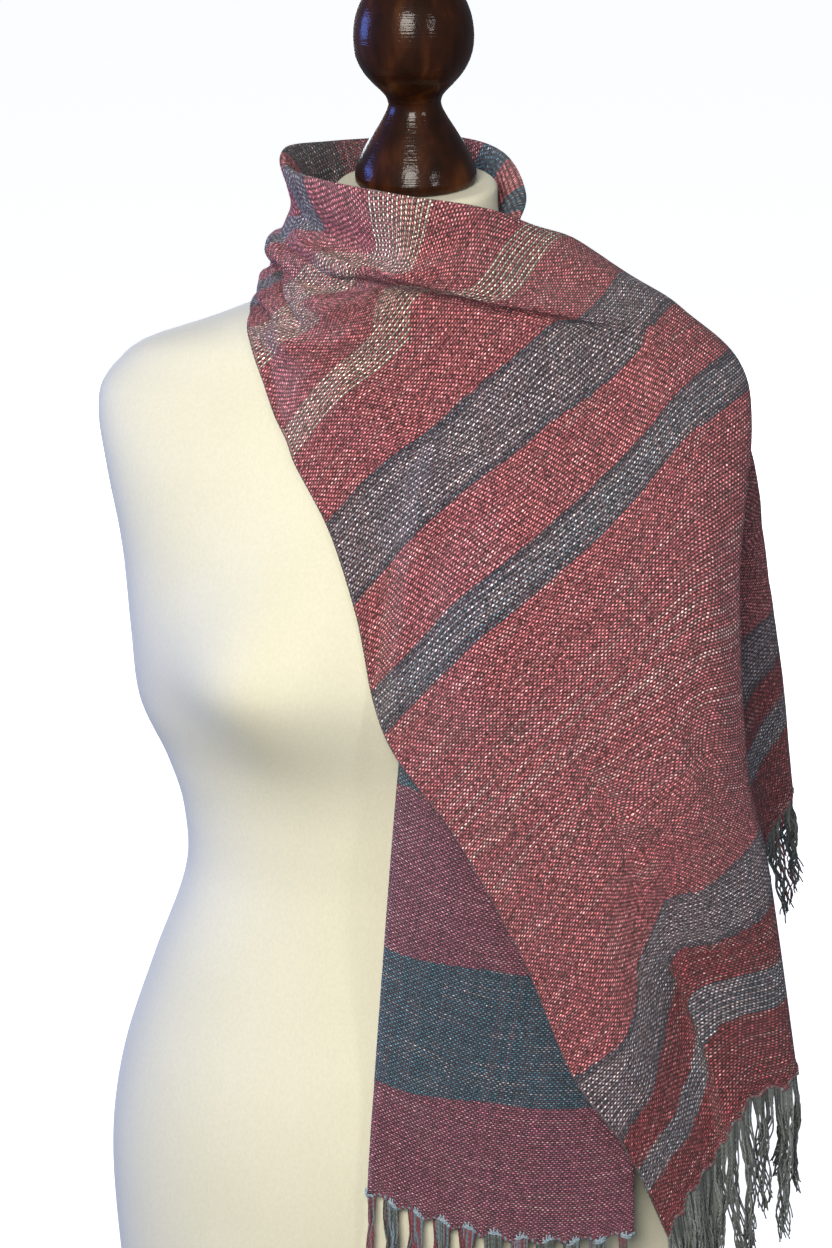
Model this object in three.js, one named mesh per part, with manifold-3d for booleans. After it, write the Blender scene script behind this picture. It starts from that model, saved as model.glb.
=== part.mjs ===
// A hand-woven fringed scarf, wound once round the neck of a limbless dress form
// and thrown over one shoulder. Millimetres, +Z up, the form faces -Y, and the
// origin is the centre of the flat underside that the form stands on.
import * as THREE from 'three';
import { mergeVertices } from 'three/addons/utils/BufferGeometryUtils.js';
import Module from 'manifold-3d';

const wasm = await Module();
wasm.setup();

// ---- driving dimensions -----------------------------------------------------

const CLOTH = 1.6; // thickness of the cloth wall
const SEAM = 1; // gap between two stretches of the same cloth
const BODY_GAP = 2; // least air between the form and the cloth wall
const UNDER_CAPE = 3; // least air between the tail and the cape over it

const NECK_TILT = THREE.MathUtils.degToRad(8); // the neck's top leans forward
const NECK_TOP = 722; // height of the middle of the neck's top
const NECK_ROOT = 660; // where the lean begins

const KNOB_GAP = 0.3;
const KNOB_FOOT = 34.5; // radius of the knob's flared foot
const KNOB_WAIST = 15;
const KNOB_CONE = 43; // height of the waist
const KNOB_BALL = { radius: 34.3, tall: 40.5, z: 84.5 };

// One row for each level of the dress form, from its base up: half width, depth in
// front and behind, and how square the section is (2 is an ellipse).
const FORM_LEVELS = [
  { z: 0, side: 170, front: 96, back: 108, square: 2.25 },
  { z: 60, side: 177, front: 101, back: 114, square: 2.25 },
  { z: 125, side: 182, front: 105, back: 118, square: 2.25 },
  { z: 165, side: 181, front: 105, back: 118, square: 2.25 },
  { z: 209, side: 173, front: 101, back: 112, square: 2.25 },
  { z: 260, side: 156, front: 92, back: 101, square: 2.25 },
  { z: 317, side: 136, front: 83, back: 90, square: 2.2 },
  { z: 355, side: 137, front: 84, back: 91, square: 2.2 },
  { z: 385, side: 146, front: 88, back: 96, square: 2.25 },
  { z: 420, side: 161, front: 94, back: 103, square: 2.35 },
  { z: 460, side: 165, front: 97, back: 108, square: 2.45 },
  { z: 510, side: 170, front: 93, back: 108, square: 2.5 },
  { z: 555, side: 179, front: 83, back: 98, square: 2.5 },
  { z: 584, side: 184, front: 70, back: 82, square: 2.5 },
  { z: 602, side: 183, front: 60, back: 70, square: 2.4 },
  { z: 615, side: 174, front: 54, back: 62, square: 2.2 },
  { z: 628, side: 158, front: 51, back: 58, square: 2.05 },
  { z: 641, side: 121, front: 49, back: 56, square: 1.95 },
  { z: 656, side: 86, front: 47, back: 53, square: 1.95 },
  { z: 676, side: 61, front: 46, back: 49, square: 2 },
  { z: 700, side: 48, front: 45, back: 46, square: 2 },
  { z: 722, side: 46, front: 45, back: 45, square: 2 },
];

// The bust: two rounded mounds, each fuller below than above.
const BUST = { z: 452, angle: 31, spread: 25, rise: 40, above: 62, below: 36 };

// ---- curves -----------------------------------------------------------------

function hermite(a, b, slopeA, slopeB, t) {
  const t2 = t * t;
  const t3 = t2 * t;
  return a * (2 * t3 - 3 * t2 + 1) + slopeA * (t3 - 2 * t2 + t)
    + b * (3 * t2 - 2 * t3) + slopeB * (t3 - t2);
}

// A smooth curve through the values of a table's column, read at any key.
function readColumn(rows, key, column, at) {
  const last = rows.length - 1;
  let i = 0;
  while (i < last - 1 && at > rows[i + 1][key]) i += 1;
  const slope = (k) => {
    const from = Math.max(k - 1, 0);
    const to = Math.min(k + 1, last);
    return (rows[to][column] - rows[from][column]) / (rows[to][key] - rows[from][key]);
  };
  const span = rows[i + 1][key] - rows[i][key];
  const t = Math.min(Math.max((at - rows[i][key]) / span, 0), 1);
  return hermite(rows[i][column], rows[i + 1][column], slope(i) * span, slope(i + 1) * span, t);
}

const clamp01 = (t) => Math.min(Math.max(t, 0), 1);
const smooth = (t) => clamp01(t) ** 2 * (3 - 2 * clamp01(t));
const bell = (t) => Math.exp(-t * t);

// ---- the dress form's surface -----------------------------------------------

function bustRise(theta, z) {
  const degrees = THREE.MathUtils.radToDeg(theta);
  const front = ((degrees % 360) + 360) % 360 - 270;
  const tall = z > BUST.z ? BUST.above : BUST.below;
  const level = bell((z - BUST.z) / tall);
  const left = bell((front + BUST.angle) / BUST.spread);
  const right = bell((front - BUST.angle) / BUST.spread);
  return BUST.rise * level * (left + right);
}

// The form's radius about the upright axis, at a level and in a direction.
function formRadius(theta, z) {
  const level = THREE.MathUtils.clamp(z, 0, NECK_TOP);
  const read = (column) => readColumn(FORM_LEVELS, 'z', column, level);
  const depth = Math.sin(theta) < 0 ? read('front') : read('back');
  const power = read('square');
  const across = Math.abs(Math.cos(theta)) / read('side');
  const along = Math.abs(Math.sin(theta)) / depth;
  const plain = (across ** power + along ** power) ** (-1 / power);
  return plain + bustRise(theta, z);
}

// How far a point lies outside the form, measured square to the surface.
function formDistance(p) {
  const outside = (x, y, z) => Math.hypot(x, y) - formRadius(Math.atan2(y, x), z);
  const step = 0.5;
  const here = outside(p.x, p.y, p.z);
  const slopeX = (outside(p.x + step, p.y, p.z) - here) / step;
  const slopeY = (outside(p.x, p.y + step, p.z) - here) / step;
  const slopeZ = (outside(p.x, p.y, p.z + step) - here) / step;
  const slope = new THREE.Vector3(slopeX, slopeY, slopeZ);
  const steepness = Math.max(slope.length(), 0.2);
  return { distance: here / steepness, away: slope.divideScalar(steepness) };
}

// Moves a point of the cloth's middle out of the form, to at least the air given.
function clearOfForm(p, air) {
  for (let pass = 0; pass < 5; pass += 1) {
    const { distance, away } = formDistance(p);
    if (distance < air) p.addScaledVector(away, air - distance);
  }
  return p;
}

// ---- closed meshes ----------------------------------------------------------

function geometryOf(points, triangles) {
  const geometry = new THREE.BufferGeometry();
  const flat = points.flatMap((p) => [p.x, p.y, p.z]);
  geometry.setAttribute('position', new THREE.Float32BufferAttribute(flat, 3));
  geometry.setIndex(triangles.flat());
  return geometry;
}

// A stack of rings of equal count, closed by a fan at each end.
function ringStack(rings) {
  const count = rings[0].length;
  const points = rings.flat();
  const triangles = [];
  for (let i = 0; i < rings.length - 1; i += 1) {
    for (let j = 0; j < count; j += 1) {
      const a = i * count + j;
      const b = i * count + (j + 1) % count;
      triangles.push([a, b, b + count], [a, b + count, a + count]);
    }
  }
  const fan = (ring, offset, up) => {
    const centre = new THREE.Vector3();
    ring.forEach((p) => centre.addScaledVector(p, 1 / count));
    points.push(centre);
    const hub = points.length - 1;
    for (let j = 0; j < count; j += 1) {
      const next = offset + (j + 1) % count;
      triangles.push(up ? [hub, offset + j, next] : [hub, next, offset + j]);
    }
  };
  fan(rings[0], 0, false);
  fan(rings[rings.length - 1], (rings.length - 1) * count, true);
  return geometryOf(points, triangles);
}

// The cloth wall on a sheet: a grid of points down the middle of the cloth, thickened
// to both sides. Rows run along the scarf and columns run across it. The rows before
// and after give the way the cloth runs on past a seam, and aren't built.
function clothWall(sheet, before = sheet[0], after = sheet[sheet.length - 1], thickness = CLOTH) {
  const rows = sheet.length;
  const columns = sheet[0].length;
  const at = (i, j) => {
    const column = THREE.MathUtils.clamp(j, 0, columns - 1);
    if (i < 0) return before[column];
    return i < rows ? sheet[i][column] : after[column];
  };
  const normal = (i, j) => {
    const along = at(i + 1, j).clone().sub(at(i - 1, j));
    const across = at(i, j + 1).clone().sub(at(i, j - 1));
    return across.cross(along).normalize();
  };
  const points = [];
  for (const side of [0.5, -0.5]) {
    for (let i = 0; i < rows; i += 1) {
      for (let j = 0; j < columns; j += 1) {
        points.push(at(i, j).clone().addScaledVector(normal(i, j), side * thickness));
      }
    }
  }
  const outer = (i, j) => i * columns + j;
  const inner = (i, j) => rows * columns + i * columns + j;
  const triangles = [];
  const quad = (a, b, c, d) => triangles.push([a, b, c], [a, c, d]);
  for (let i = 0; i < rows - 1; i += 1) {
    for (let j = 0; j < columns - 1; j += 1) {
      quad(outer(i, j), outer(i, j + 1), outer(i + 1, j + 1), outer(i + 1, j));
      quad(inner(i, j), inner(i + 1, j), inner(i + 1, j + 1), inner(i, j + 1));
    }
    quad(outer(i, 0), outer(i + 1, 0), inner(i + 1, 0), inner(i, 0));
    quad(outer(i + 1, columns - 1), outer(i, columns - 1), inner(i, columns - 1), inner(i + 1, columns - 1));
  }
  for (let j = 0; j < columns - 1; j += 1) {
    quad(outer(0, j + 1), outer(0, j), inner(0, j), inner(0, j + 1));
    quad(outer(rows - 1, j), outer(rows - 1, j + 1), inner(rows - 1, j + 1), inner(rows - 1, j));
  }
  return geometryOf(points, triangles);
}

// ---- the scarf --------------------------------------------------------------

// Where the named lines of the cloth lie across its width, from the selvedge on the
// chest to the selvedge behind. Past the ridge the cloth turns over: down the back of
// the shoulder, round the side of the cape, or into the collar.
const ACROSS = {
  selvedge: 0, low: 60, mid: 120, tuck: 180, band: 225, ridge: 275, valley: 350, flare: 425, back: 500,
};
const LINES = Object.keys(ACROSS);

// One row for each weft thread that shapes the cape and the cowl, by its distance
// along the scarf from the last end's hem; each entry is a point [x, y, z].
const CAPE_WEFTS = [
  { along: 0,
    selvedge: [161, -106, 134], low: [172, -96, 156], mid: [184, -80, 172],
    tuck: [195, -84, 192], band: [206, -72, 208], ridge: [228, -46, 216],
    valley: [186, 14, 280], flare: [214, 90, 348], back: [104, 126, 350] },
  { along: 72,
    selvedge: [137, -124, 194], low: [148, -112, 222], mid: [157, -92, 262],
    tuck: [166, -98, 288], band: [186, -86, 294], ridge: [216, -52, 300],
    valley: [180, 10, 358], flare: [206, 84, 424], back: [96, 124, 428] },
  { along: 114,
    selvedge: [109, -128, 234], low: [134, -124, 260], mid: [143, -110, 293],
    tuck: [153, -104, 321], band: [179, -92, 326], ridge: [209, -55, 344],
    valley: [174, 8, 400], flare: [199, 76, 454], back: [92, 122, 457] },
  { along: 190,
    selvedge: [79, -130, 305], low: [105, -132, 339], mid: [129, -126, 363],
    tuck: [154, -114, 382], band: [178, -94, 398], ridge: [197, -56, 399],
    valley: [172, 6, 462], flare: [190, 62, 508], back: [86, 118, 506] },
  { along: 270,
    selvedge: [40, -132, 377], low: [76, -138, 418], mid: [108, -132, 447],
    tuck: [141, -114, 475], band: [169, -90, 495], ridge: [190, -50, 501],
    valley: [180, 4, 534], flare: [180, 48, 562], back: [80, 110, 562] },
  { along: 335,
    selvedge: [1, -126, 430], low: [48, -134, 482], mid: [88, -122, 516],
    tuck: [128, -96, 552], band: [161, -60, 590], ridge: [189, -12, 608],
    valley: [180, 24, 606], flare: [152, 64, 602], back: [74, 98, 610] },
  { along: 396,
    selvedge: [-20, -104, 495], low: [24, -100, 547], mid: [68, -84, 581],
    tuck: [122, -40, 629], band: [136, -32, 645], ridge: [148, -2, 654],
    valley: [150, 32, 640], flare: [124, 66, 624], back: [60, 86, 640] },
  { along: 436,
    selvedge: [-36, -88, 538], low: [-8, -82, 570], mid: [26, -74, 596],
    tuck: [78, -46, 647], band: [103, -42, 656], ridge: [116, -5, 671],
    valley: [118, 32, 664], flare: [100, 66, 646], back: [50, 84, 660] },
  { along: 483,
    selvedge: [-58, -75, 574], low: [-35, -70, 604], mid: [-3, -64, 631],
    tuck: [28, -62, 663], band: [60, -58, 668], ridge: [80, -20, 692],
    valley: [90, 14, 688], flare: [84, 44, 676], back: [64, 68, 678] },
  { along: 500,
    selvedge: [-63, -70, 585], low: [-43, -67, 613], mid: [-17, -63, 638],
    tuck: [10, -65, 666], band: [44, -66, 675], ridge: [66, -34, 700],
    valley: [74, -10, 697], flare: [80, 12, 688], back: [76, 32, 682] },
  { along: 522,
    selvedge: [-72, -60, 599], low: [-54, -62, 624], mid: [-32, -62, 645],
    tuck: [-4, -68, 669], band: [26, -71, 682], ridge: [46, -54, 713],
    valley: [49, -44, 708], flare: [53, -34, 698], back: [57, -26, 690] },
  { along: 563,
    selvedge: [-86, -36, 630], low: [-71, -46, 645], mid: [-52, -54, 656],
    tuck: [-18, -67, 674], band: [-3, -71, 690], ridge: [0, -70, 722],
    valley: [0, -61, 718], flare: [0, -57, 705], back: [0, -56, 690] },
  { along: 638,
    selvedge: [-92, -8, 650], low: [-84, -16, 660], mid: [-74, -24, 676],
    tuck: [-63, -30, 688], band: [-57, -34, 702], ridge: [-66, -27, 728],
    valley: [-59, -23, 724], flare: [-54, -20, 710], back: [-53, -19, 696] },
];

// One row for each radial section of the wrap round the back of the neck: direction
// in degrees from +X, then radius and height of its foot and of its top edge.
const COLLAR_SECTIONS = [
  { along: 690, angle: 174, foot: 97, footZ: 652, top: 78, topZ: 740 },
  { along: 735, angle: 143, foot: 87, footZ: 648, top: 73, topZ: 741 },
  { along: 785, angle: 112, foot: 78, footZ: 642, top: 69, topZ: 740 },
  { along: 830, angle: 80, foot: 74, footZ: 642, top: 67, topZ: 740 },
  { along: 875, angle: 48, foot: 72, footZ: 654, top: 64, topZ: 732 },
  { along: 915, angle: 18, foot: 68, footZ: 676, top: 61, topZ: 713 },
  { along: 945, angle: -8, foot: 63, footZ: 679, top: 58, topZ: 699 },
];

// How a collar section runs from its foot, up its gathered outside and over its top
// edge, then down inside: the share of the height, and the radius as a share of the
// way from the top's to the foot's, with millimetres to add on the inside.
const COLLAR_PROFILE = {
  selvedge: { rise: 0, spread: 1, inside: 0 },
  low: { rise: 0.16, spread: 0.55, inside: 0 },
  mid: { rise: 0.36, spread: 0.35, inside: 0 },
  tuck: { rise: 0.53, spread: -0.15, inside: 0 },
  band: { rise: 0.7, spread: -0.45, inside: 0 },
  ridge: { rise: 1, spread: 0, inside: 0 },
  valley: { rise: 0.95, spread: 0, inside: -7 },
  flare: { rise: 0.8, spread: 0, inside: -13 },
  back: { rise: 0.63, spread: 0, inside: -15 },
};

function collarWeft(section) {
  const turn = THREE.MathUtils.degToRad(section.angle);
  const weft = { along: section.along };
  for (const line of LINES) {
    const { rise, spread, inside } = COLLAR_PROFILE[line];
    const radius = THREE.MathUtils.lerp(section.top, section.foot, spread) + inside;
    const height = THREE.MathUtils.lerp(section.footZ, section.topZ, rise);
    weft[line] = [radius * Math.cos(turn), radius * Math.sin(turn), height];
  }
  return weft;
}

const WEFTS = [...CAPE_WEFTS, ...COLLAR_SECTIONS.map(collarWeft)];
const SCARF_END = WEFTS[WEFTS.length - 1].along;

// Folds of the cape, cowl and collar: a ridge (or a trough, where the height is
// negative) between two places given by their distances along and across the cloth.
const FOLDS = [
  { along: 40, across: 150, toAlong: 230, toAcross: 135, width: 20, height: -3 },
  { along: 60, across: 225, toAlong: 230, toAcross: 200, width: 15, height: 4 },
  { along: 340, across: 172, toAlong: 620, toAcross: 172, width: 8, height: -4 },
  { along: 350, across: 190, toAlong: 620, toAcross: 190, width: 9, height: 4 },
  { along: 560, across: 60, toAlong: 780, toAcross: 45, width: 12, height: 4 },
  { along: 570, across: 95, toAlong: 830, toAcross: 100, width: 9, height: -5 },
  { along: 560, across: 135, toAlong: 860, toAcross: 140, width: 12, height: 4 },
  { along: 0, across: 395, toAlong: 260, toAcross: 385, width: 15, height: -7 },
  { along: 0, across: 465, toAlong: 240, toAcross: 455, width: 16, height: -6 },
  { along: 120, across: 430, toAlong: 330, toAcross: 400, width: 16, height: 5 },
];

// The tail hangs down the front under the cape. One row for each level: its two
// edges, how far it stands in front of the axis, and how much its edges fall back.
const TAIL_LEVELS = [
  { z: 110, left: -12, right: 141, depth: 113, fall: 5 },
  { z: 200, left: -8, right: 140, depth: 115, fall: 6 },
  { z: 300, left: -1, right: 139, depth: 119, fall: 8 },
  { z: 380, left: 5, right: 138, depth: 123, fall: 12 },
  { z: 455, left: 11, right: 135, depth: 127, fall: 22 },
  { z: 540, left: 18, right: 122, depth: 96, fall: 14 },
  { z: 600, left: 28, right: 96, depth: 68, fall: 10 },
  { z: 656, left: 38, right: 84, depth: 42, fall: 8 },
];
const TAIL_TOP = 652;
const TAIL_HEM = { left: 154, middle: 131, right: 136 };
const TAIL_LAYER = 3.4; // between the middles of its two layers
const TAIL_BACK_INSET = 7; // the hidden layer is narrower than the front one

function formFrontY(x, z) {
  let outside = -260;
  let inside = 0;
  for (let pass = 0; pass < 24; pass += 1) {
    const y = (outside + inside) / 2;
    const clear = Math.hypot(x, y) > formRadius(Math.atan2(y, x), z);
    if (clear) outside = y;
    else inside = y;
  }
  return outside;
}

// The middle of the tail's front layer, as a depth behind each point of the front.
function tailFaceY(x, z) {
  const read = (column) => readColumn(TAIL_LEVELS, 'z', column, z);
  const middle = (read('left') + read('right')) / 2;
  const half = (read('right') - read('left')) / 2;
  const side = THREE.MathUtils.clamp((x - middle) / half, -1.2, 1.2);
  const hanging = -read('depth') + read('fall') * side * side;
  const resting = formFrontY(x, z) - BODY_GAP - 2 * CLOTH - TAIL_LAYER;
  return Math.min(hanging, resting);
}

// Moves a point of the cape in front of the tail that hangs under it.
function clearOfTail(p) {
  if (p.y > -10 || p.z > TAIL_TOP + 12) return p;
  const left = readColumn(TAIL_LEVELS, 'z', 'left', p.z);
  const right = readColumn(TAIL_LEVELS, 'z', 'right', p.z);
  const beside = Math.max(left - p.x, p.x - right, 0);
  const reach = 26;
  if (beside > reach) return p;
  const face = tailFaceY(THREE.MathUtils.clamp(p.x, left, right), p.z);
  const guard = face - CLOTH - UNDER_CAPE + 30 * smooth(Math.max(beside - 4, 0) / reach);
  p.y = Math.min(p.y, guard);
  return p;
}

// The smooth lie of the cloth before its folds: a curve along the scarf through each
// named line, then a curve across the scarf through those.
function lieOfCloth(along, across) {
  const knots = LINES.map((line) => {
    const rows = WEFTS.map((weft) => ({
      along: weft.along, x: weft[line][0], y: weft[line][1], z: weft[line][2],
    }));
    return {
      across: ACROSS[line],
      x: readColumn(rows, 'along', 'x', along),
      y: readColumn(rows, 'along', 'y', along),
      z: readColumn(rows, 'along', 'z', along),
    };
  });
  const read = (axis) => readColumn(knots, 'across', axis, across);
  return new THREE.Vector3(read('x'), read('y'), read('z'));
}

function foldHeight(along, across) {
  let height = 0;
  for (const fold of FOLDS) {
    const runAlong = fold.toAlong - fold.along;
    const runAcross = fold.toAcross - fold.across;
    const run = runAlong ** 2 + runAcross ** 2;
    const t = ((along - fold.along) * runAlong + (across - fold.across) * runAcross) / run;
    const near = clamp01(t);
    const offAlong = along - fold.along - near * runAlong;
    const offAcross = across - fold.across - near * runAcross;
    height += fold.height * bell(Math.hypot(offAlong * 0.5, offAcross) / fold.width);
  }
  return height;
}

function clothPoint(along, across) {
  const step = 2;
  const p = lieOfCloth(along, across);
  const overAlong = lieOfCloth(along + step, across).sub(lieOfCloth(along - step, across));
  const overAcross = lieOfCloth(along, across + step).sub(lieOfCloth(along, across - step));
  const outward = overAcross.cross(overAlong).normalize();
  p.addScaledVector(outward, foldHeight(along, across));
  clearOfForm(p, BODY_GAP + CLOTH / 2);
  return clearOfTail(p);
}

function evenSteps(from, to, count) {
  return Array.from({ length: count + 1 }, (_, i) => from + (to - from) * (i / count));
}

const ACROSS_STEPS = evenSteps(0, ACROSS.back, 28);
const STRETCH_ENDS = { hem: 0, chest: 235, shoulder: 460, gather: 690, underlap: SCARF_END };

function stretch(from, to, rows) {
  const alongs = evenSteps(from + SEAM / 2, to - SEAM / 2, rows);
  const weft = (along) => ACROSS_STEPS.map((across) => clothPoint(along, across));
  const step = (to - from) / rows;
  return {
    sheet: alongs.map(weft),
    before: weft(Math.max(from - step, 0)),
    after: weft(Math.min(to + step, SCARF_END)),
  };
}

// ---- the tail, folded lengthwise into two layers ----------------------------

function tailHemZ(share) {
  const { left, middle, right } = TAIL_HEM;
  const dip = 1 - (2 * share - 1) ** 2;
  return THREE.MathUtils.lerp(left, right, share) + (middle - (left + right) / 2) * dip;
}

// Across the tail: the hidden layer from its free edge to the fold on the left, round
// the fold, and the front layer out to the right edge.
function tailSection(level) {
  const face = 10;
  const turn = 3;
  const section = [];
  const place = (share, behind) => section.push({ share, behind });
  evenSteps(1, 0.012, face).forEach((share) => place(share, TAIL_LAYER));
  for (let k = 1; k < turn + 1; k += 1) {
    const angle = (Math.PI * k) / (turn + 1);
    place(-0.011 * Math.sin(angle), (TAIL_LAYER / 2) * (1 + Math.cos(angle)));
  }
  evenSteps(0.012, 1, face).forEach((share) => place(share, 0));
  return section.map(({ share, behind }) => {
    const z = THREE.MathUtils.lerp(TAIL_TOP, tailHemZ(clamp01(share)), level);
    const left = readColumn(TAIL_LEVELS, 'z', 'left', z);
    const right = readColumn(TAIL_LEVELS, 'z', 'right', z);
    const edge = behind > TAIL_LAYER / 2 ? right - TAIL_BACK_INSET : right;
    const x = THREE.MathUtils.lerp(left, edge, share);
    return new THREE.Vector3(x, tailFaceY(x, z) + behind, z);
  });
}

const tailSheet = () => evenSteps(1, 0, 18).map(tailSection);

// ---- fringe -----------------------------------------------------------------

const STRIP_GAP = 0.9; // between the cloth's edge and the strip that holds the fringe
const STRIP_DEPTH = 3;
const STRAND = { length: 86, root: 1.5, tip: 0.8, sides: 3, rings: 4, spacing: 9 };

// A repeatable spread of values from 0 to 1, one for each strand and use.
const scatter = (index, use) => {
  const value = Math.sin(index * 12.9898 + use * 78.233) * 43758.5453;
  return value - Math.floor(value);
};

// One lock of warp ends: it leaves the strip along the cloth and turns to hang down.
function strandGeometry(root, leave, length, index) {
  const sway = new THREE.Vector3(scatter(index, 1) - 0.5, scatter(index, 2) - 0.5, 0).multiplyScalar(9);
  const rings = evenSteps(0, 1, STRAND.rings).map((t) => {
    const centre = root.clone();
    centre.addScaledVector(leave, length * 0.2 * (1 - (1 - t) ** 2));
    centre.z -= length * (t - 0.1 * (1 - (1 - t) ** 2));
    centre.addScaledVector(sway, t * t);
    const radius = THREE.MathUtils.lerp(STRAND.root, STRAND.tip, t);
    const ring = [];
    for (let k = 0; k < STRAND.sides; k += 1) {
      const angle = (2 * Math.PI * k) / STRAND.sides + index;
      const x = radius * Math.cos(angle);
      const y = radius * Math.sin(angle);
      ring.push(centre.clone().add(new THREE.Vector3(x, y, 0)));
    }
    return ring;
  });
  return ringStack(rings.reverse());
}

function solidOf(geometry) {
  const plain = new THREE.BufferGeometry();
  plain.setAttribute('position', geometry.getAttribute('position'));
  plain.setIndex(geometry.getIndex());
  const merged = mergeVertices(plain, 1e-4);
  return new wasm.Manifold(new wasm.Mesh({
    numProp: 3,
    vertProperties: new Float32Array(merged.getAttribute('position').array),
    triVerts: new Uint32Array(merged.getIndex().array),
  }));
}

function geometryOfSolid(solid) {
  const mesh = solid.getMesh();
  const geometry = new THREE.BufferGeometry();
  geometry.setAttribute('position', new THREE.BufferAttribute(new Float32Array(mesh.vertProperties), 3));
  geometry.setIndex(new THREE.BufferAttribute(new Uint32Array(mesh.triVerts), 1));
  return geometry;
}

// A fringe below a hem: edge holds the points of the cloth's last row and next holds
// the row above it, which gives the direction in which the cloth ends.
function fringeGeometry(edge, next, firstIndex) {
  const leaves = edge.map((p, i) => p.clone().sub(next[i]).normalize());
  const strip = (from) => edge.map((p, i) => p.clone().addScaledVector(leaves[i], from));
  const top = strip(STRIP_GAP);
  const bottom = strip(STRIP_GAP + STRIP_DEPTH);
  let solid = solidOf(clothWall([bottom, top]));
  const spans = edge.slice(1).map((p, i) => p.distanceTo(edge[i]));
  const total = spans.reduce((sum, span) => sum + span, 0);
  const count = Math.max(Math.round(total / STRAND.spacing), 2);
  for (let k = 0; k < count; k += 1) {
    let rest = ((k + 0.5) / count) * total;
    let i = 0;
    while (i < spans.length - 1 && rest > spans[i]) {
      rest -= spans[i];
      i += 1;
    }
    const t = rest / spans[i];
    const root = top[i].clone().lerp(top[i + 1], t).lerp(bottom[i].clone().lerp(bottom[i + 1], t), 0.6);
    const leave = leaves[i].clone().lerp(leaves[i + 1], t).normalize();
    const length = STRAND.length * (0.85 + 0.3 * scatter(firstIndex + k, 3));
    solid = solid.add(solidOf(strandGeometry(root, leave, length, firstIndex + k)));
  }
  return geometryOfSolid(solid);
}

// ---- the dress form ---------------------------------------------------------

const FORM_SIDES = 34;
const FORM_RINGS = [
  0, 40, 85, 125, 165, 187, 209, 235, 260, 289, 317, 336, 355, 370, 385, 402, 420, 440, 460, 485,
  510, 533, 555, 570, 584, 594, 602, 609, 615, 622, 628, 635, 641, 648, 656, 665, 676, 688, 700, 722,
];

function neckLean(y, z) {
  return -Math.tan(NECK_TILT) * -y * smooth((z - NECK_ROOT) / (NECK_TOP - NECK_ROOT));
}

function formGeometry() {
  const rings = FORM_RINGS.map((z) => {
    const ring = [];
    for (let k = 0; k < FORM_SIDES; k += 1) {
      const theta = (2 * Math.PI * k) / FORM_SIDES;
      const radius = formRadius(theta, z);
      const x = radius * Math.cos(theta);
      const y = radius * Math.sin(theta);
      ring.push(new THREE.Vector3(x, y, z + neckLean(y, z)));
    }
    return ring;
  });
  return ringStack(rings);
}

// The knob's half outline, from the middle of its foot up to the top of the ball.
function knobGeometry() {
  const rim = 3;
  const outline = [[0, 0], [KNOB_FOOT - rim, 0], [KNOB_FOOT, rim]];
  for (const t of evenSteps(0, 1, 7)) {
    const radius = KNOB_WAIST + (KNOB_FOOT - KNOB_WAIST) * (1 - t) ** 1.15;
    outline.push([radius, 2 * rim + (KNOB_CONE - 2 * rim) * t]);
  }
  const { radius, tall, z } = KNOB_BALL;
  const start = -Math.acos(0.5);
  for (const t of evenSteps(0, 1, 10)) {
    const angle = THREE.MathUtils.lerp(start, Math.PI / 2, t);
    outline.push([t === 1 ? 0 : radius * Math.cos(angle), z + tall * Math.sin(angle)]);
  }
  const points = outline.map(([across, up]) => new THREE.Vector2(across, up));
  return new THREE.LatheGeometry(points, 28).rotateX(Math.PI / 2);
}

// ---- assembly ---------------------------------------------------------------

const MATERIALS = {
  rose: { color: 0x8e4a52, roughness: 0.9, metalness: 0 },
  mauve: { color: 0x7a5260, roughness: 0.9, metalness: 0 },
  yarn: { color: 0x5a5f5c, roughness: 0.95, metalness: 0 },
  jersey: { color: 0xe8e6d0, roughness: 0.85, metalness: 0 },
  mahogany: { color: 0x3a150c, roughness: 0.25, metalness: 0 },
};

const model = new THREE.Group();

function addMesh(name, geometry, material, parent = model) {
  const mesh = new THREE.Mesh(geometry, new THREE.MeshStandardMaterial(MATERIALS[material]));
  mesh.name = name;
  parent.add(mesh);
  return mesh;
}

// The last end's fringe is in three lengths, which part where the hem turns: by the
// columns of the hem that each hangs from, and the number of its first lock.
const HEM_FRINGES = [
  { name: 'fringe_front', edge: { from: 0, to: 16 }, first: 0 },
  { name: 'fringe_side', edge: { from: 19, to: 23 }, first: 40 },
  { name: 'fringe_back', edge: { from: 24, to: 28 }, first: 60 },
];

function addScarf() {
  const wall = ({ sheet, before, after }) => clothWall(sheet, before, after);
  const end = stretch(STRETCH_ENDS.hem, STRETCH_ENDS.chest, 13);
  const drape = stretch(STRETCH_ENDS.chest, STRETCH_ENDS.shoulder, 13);
  const cowl = stretch(STRETCH_ENDS.shoulder, STRETCH_ENDS.gather, 15);
  const collar = stretch(STRETCH_ENDS.gather, STRETCH_ENDS.underlap, 12);
  const tail = tailSheet();
  addMesh('scarf_end', wall(end), 'rose');
  addMesh('scarf_drape', wall(drape), 'rose');
  addMesh('scarf_cowl', wall(cowl), 'rose');
  addMesh('scarf_neck', wall(collar), 'rose');
  addMesh('scarf_tail', clothWall(tail), 'mauve');
  for (const { name, edge, first } of HEM_FRINGES) {
    const [hem, above] = end.sheet.map((row) => row.slice(edge.from, edge.to + 1));
    addMesh(name, fringeGeometry(hem, above, first), 'yarn');
  }
  const front = 12;
  addMesh('fringe_tail', fringeGeometry(tail[0].slice(front), tail[1].slice(front), 80), 'yarn');
}

function addForm() {
  addMesh('form_torso', formGeometry(), 'jersey');
  const neck = new THREE.Group();
  neck.position.z = NECK_TOP;
  neck.rotation.x = NECK_TILT;
  addMesh('form_knob', knobGeometry(), 'mahogany', neck).position.z = KNOB_GAP;
  model.add(neck);
}

addForm();
addScarf();

export default model;
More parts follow.
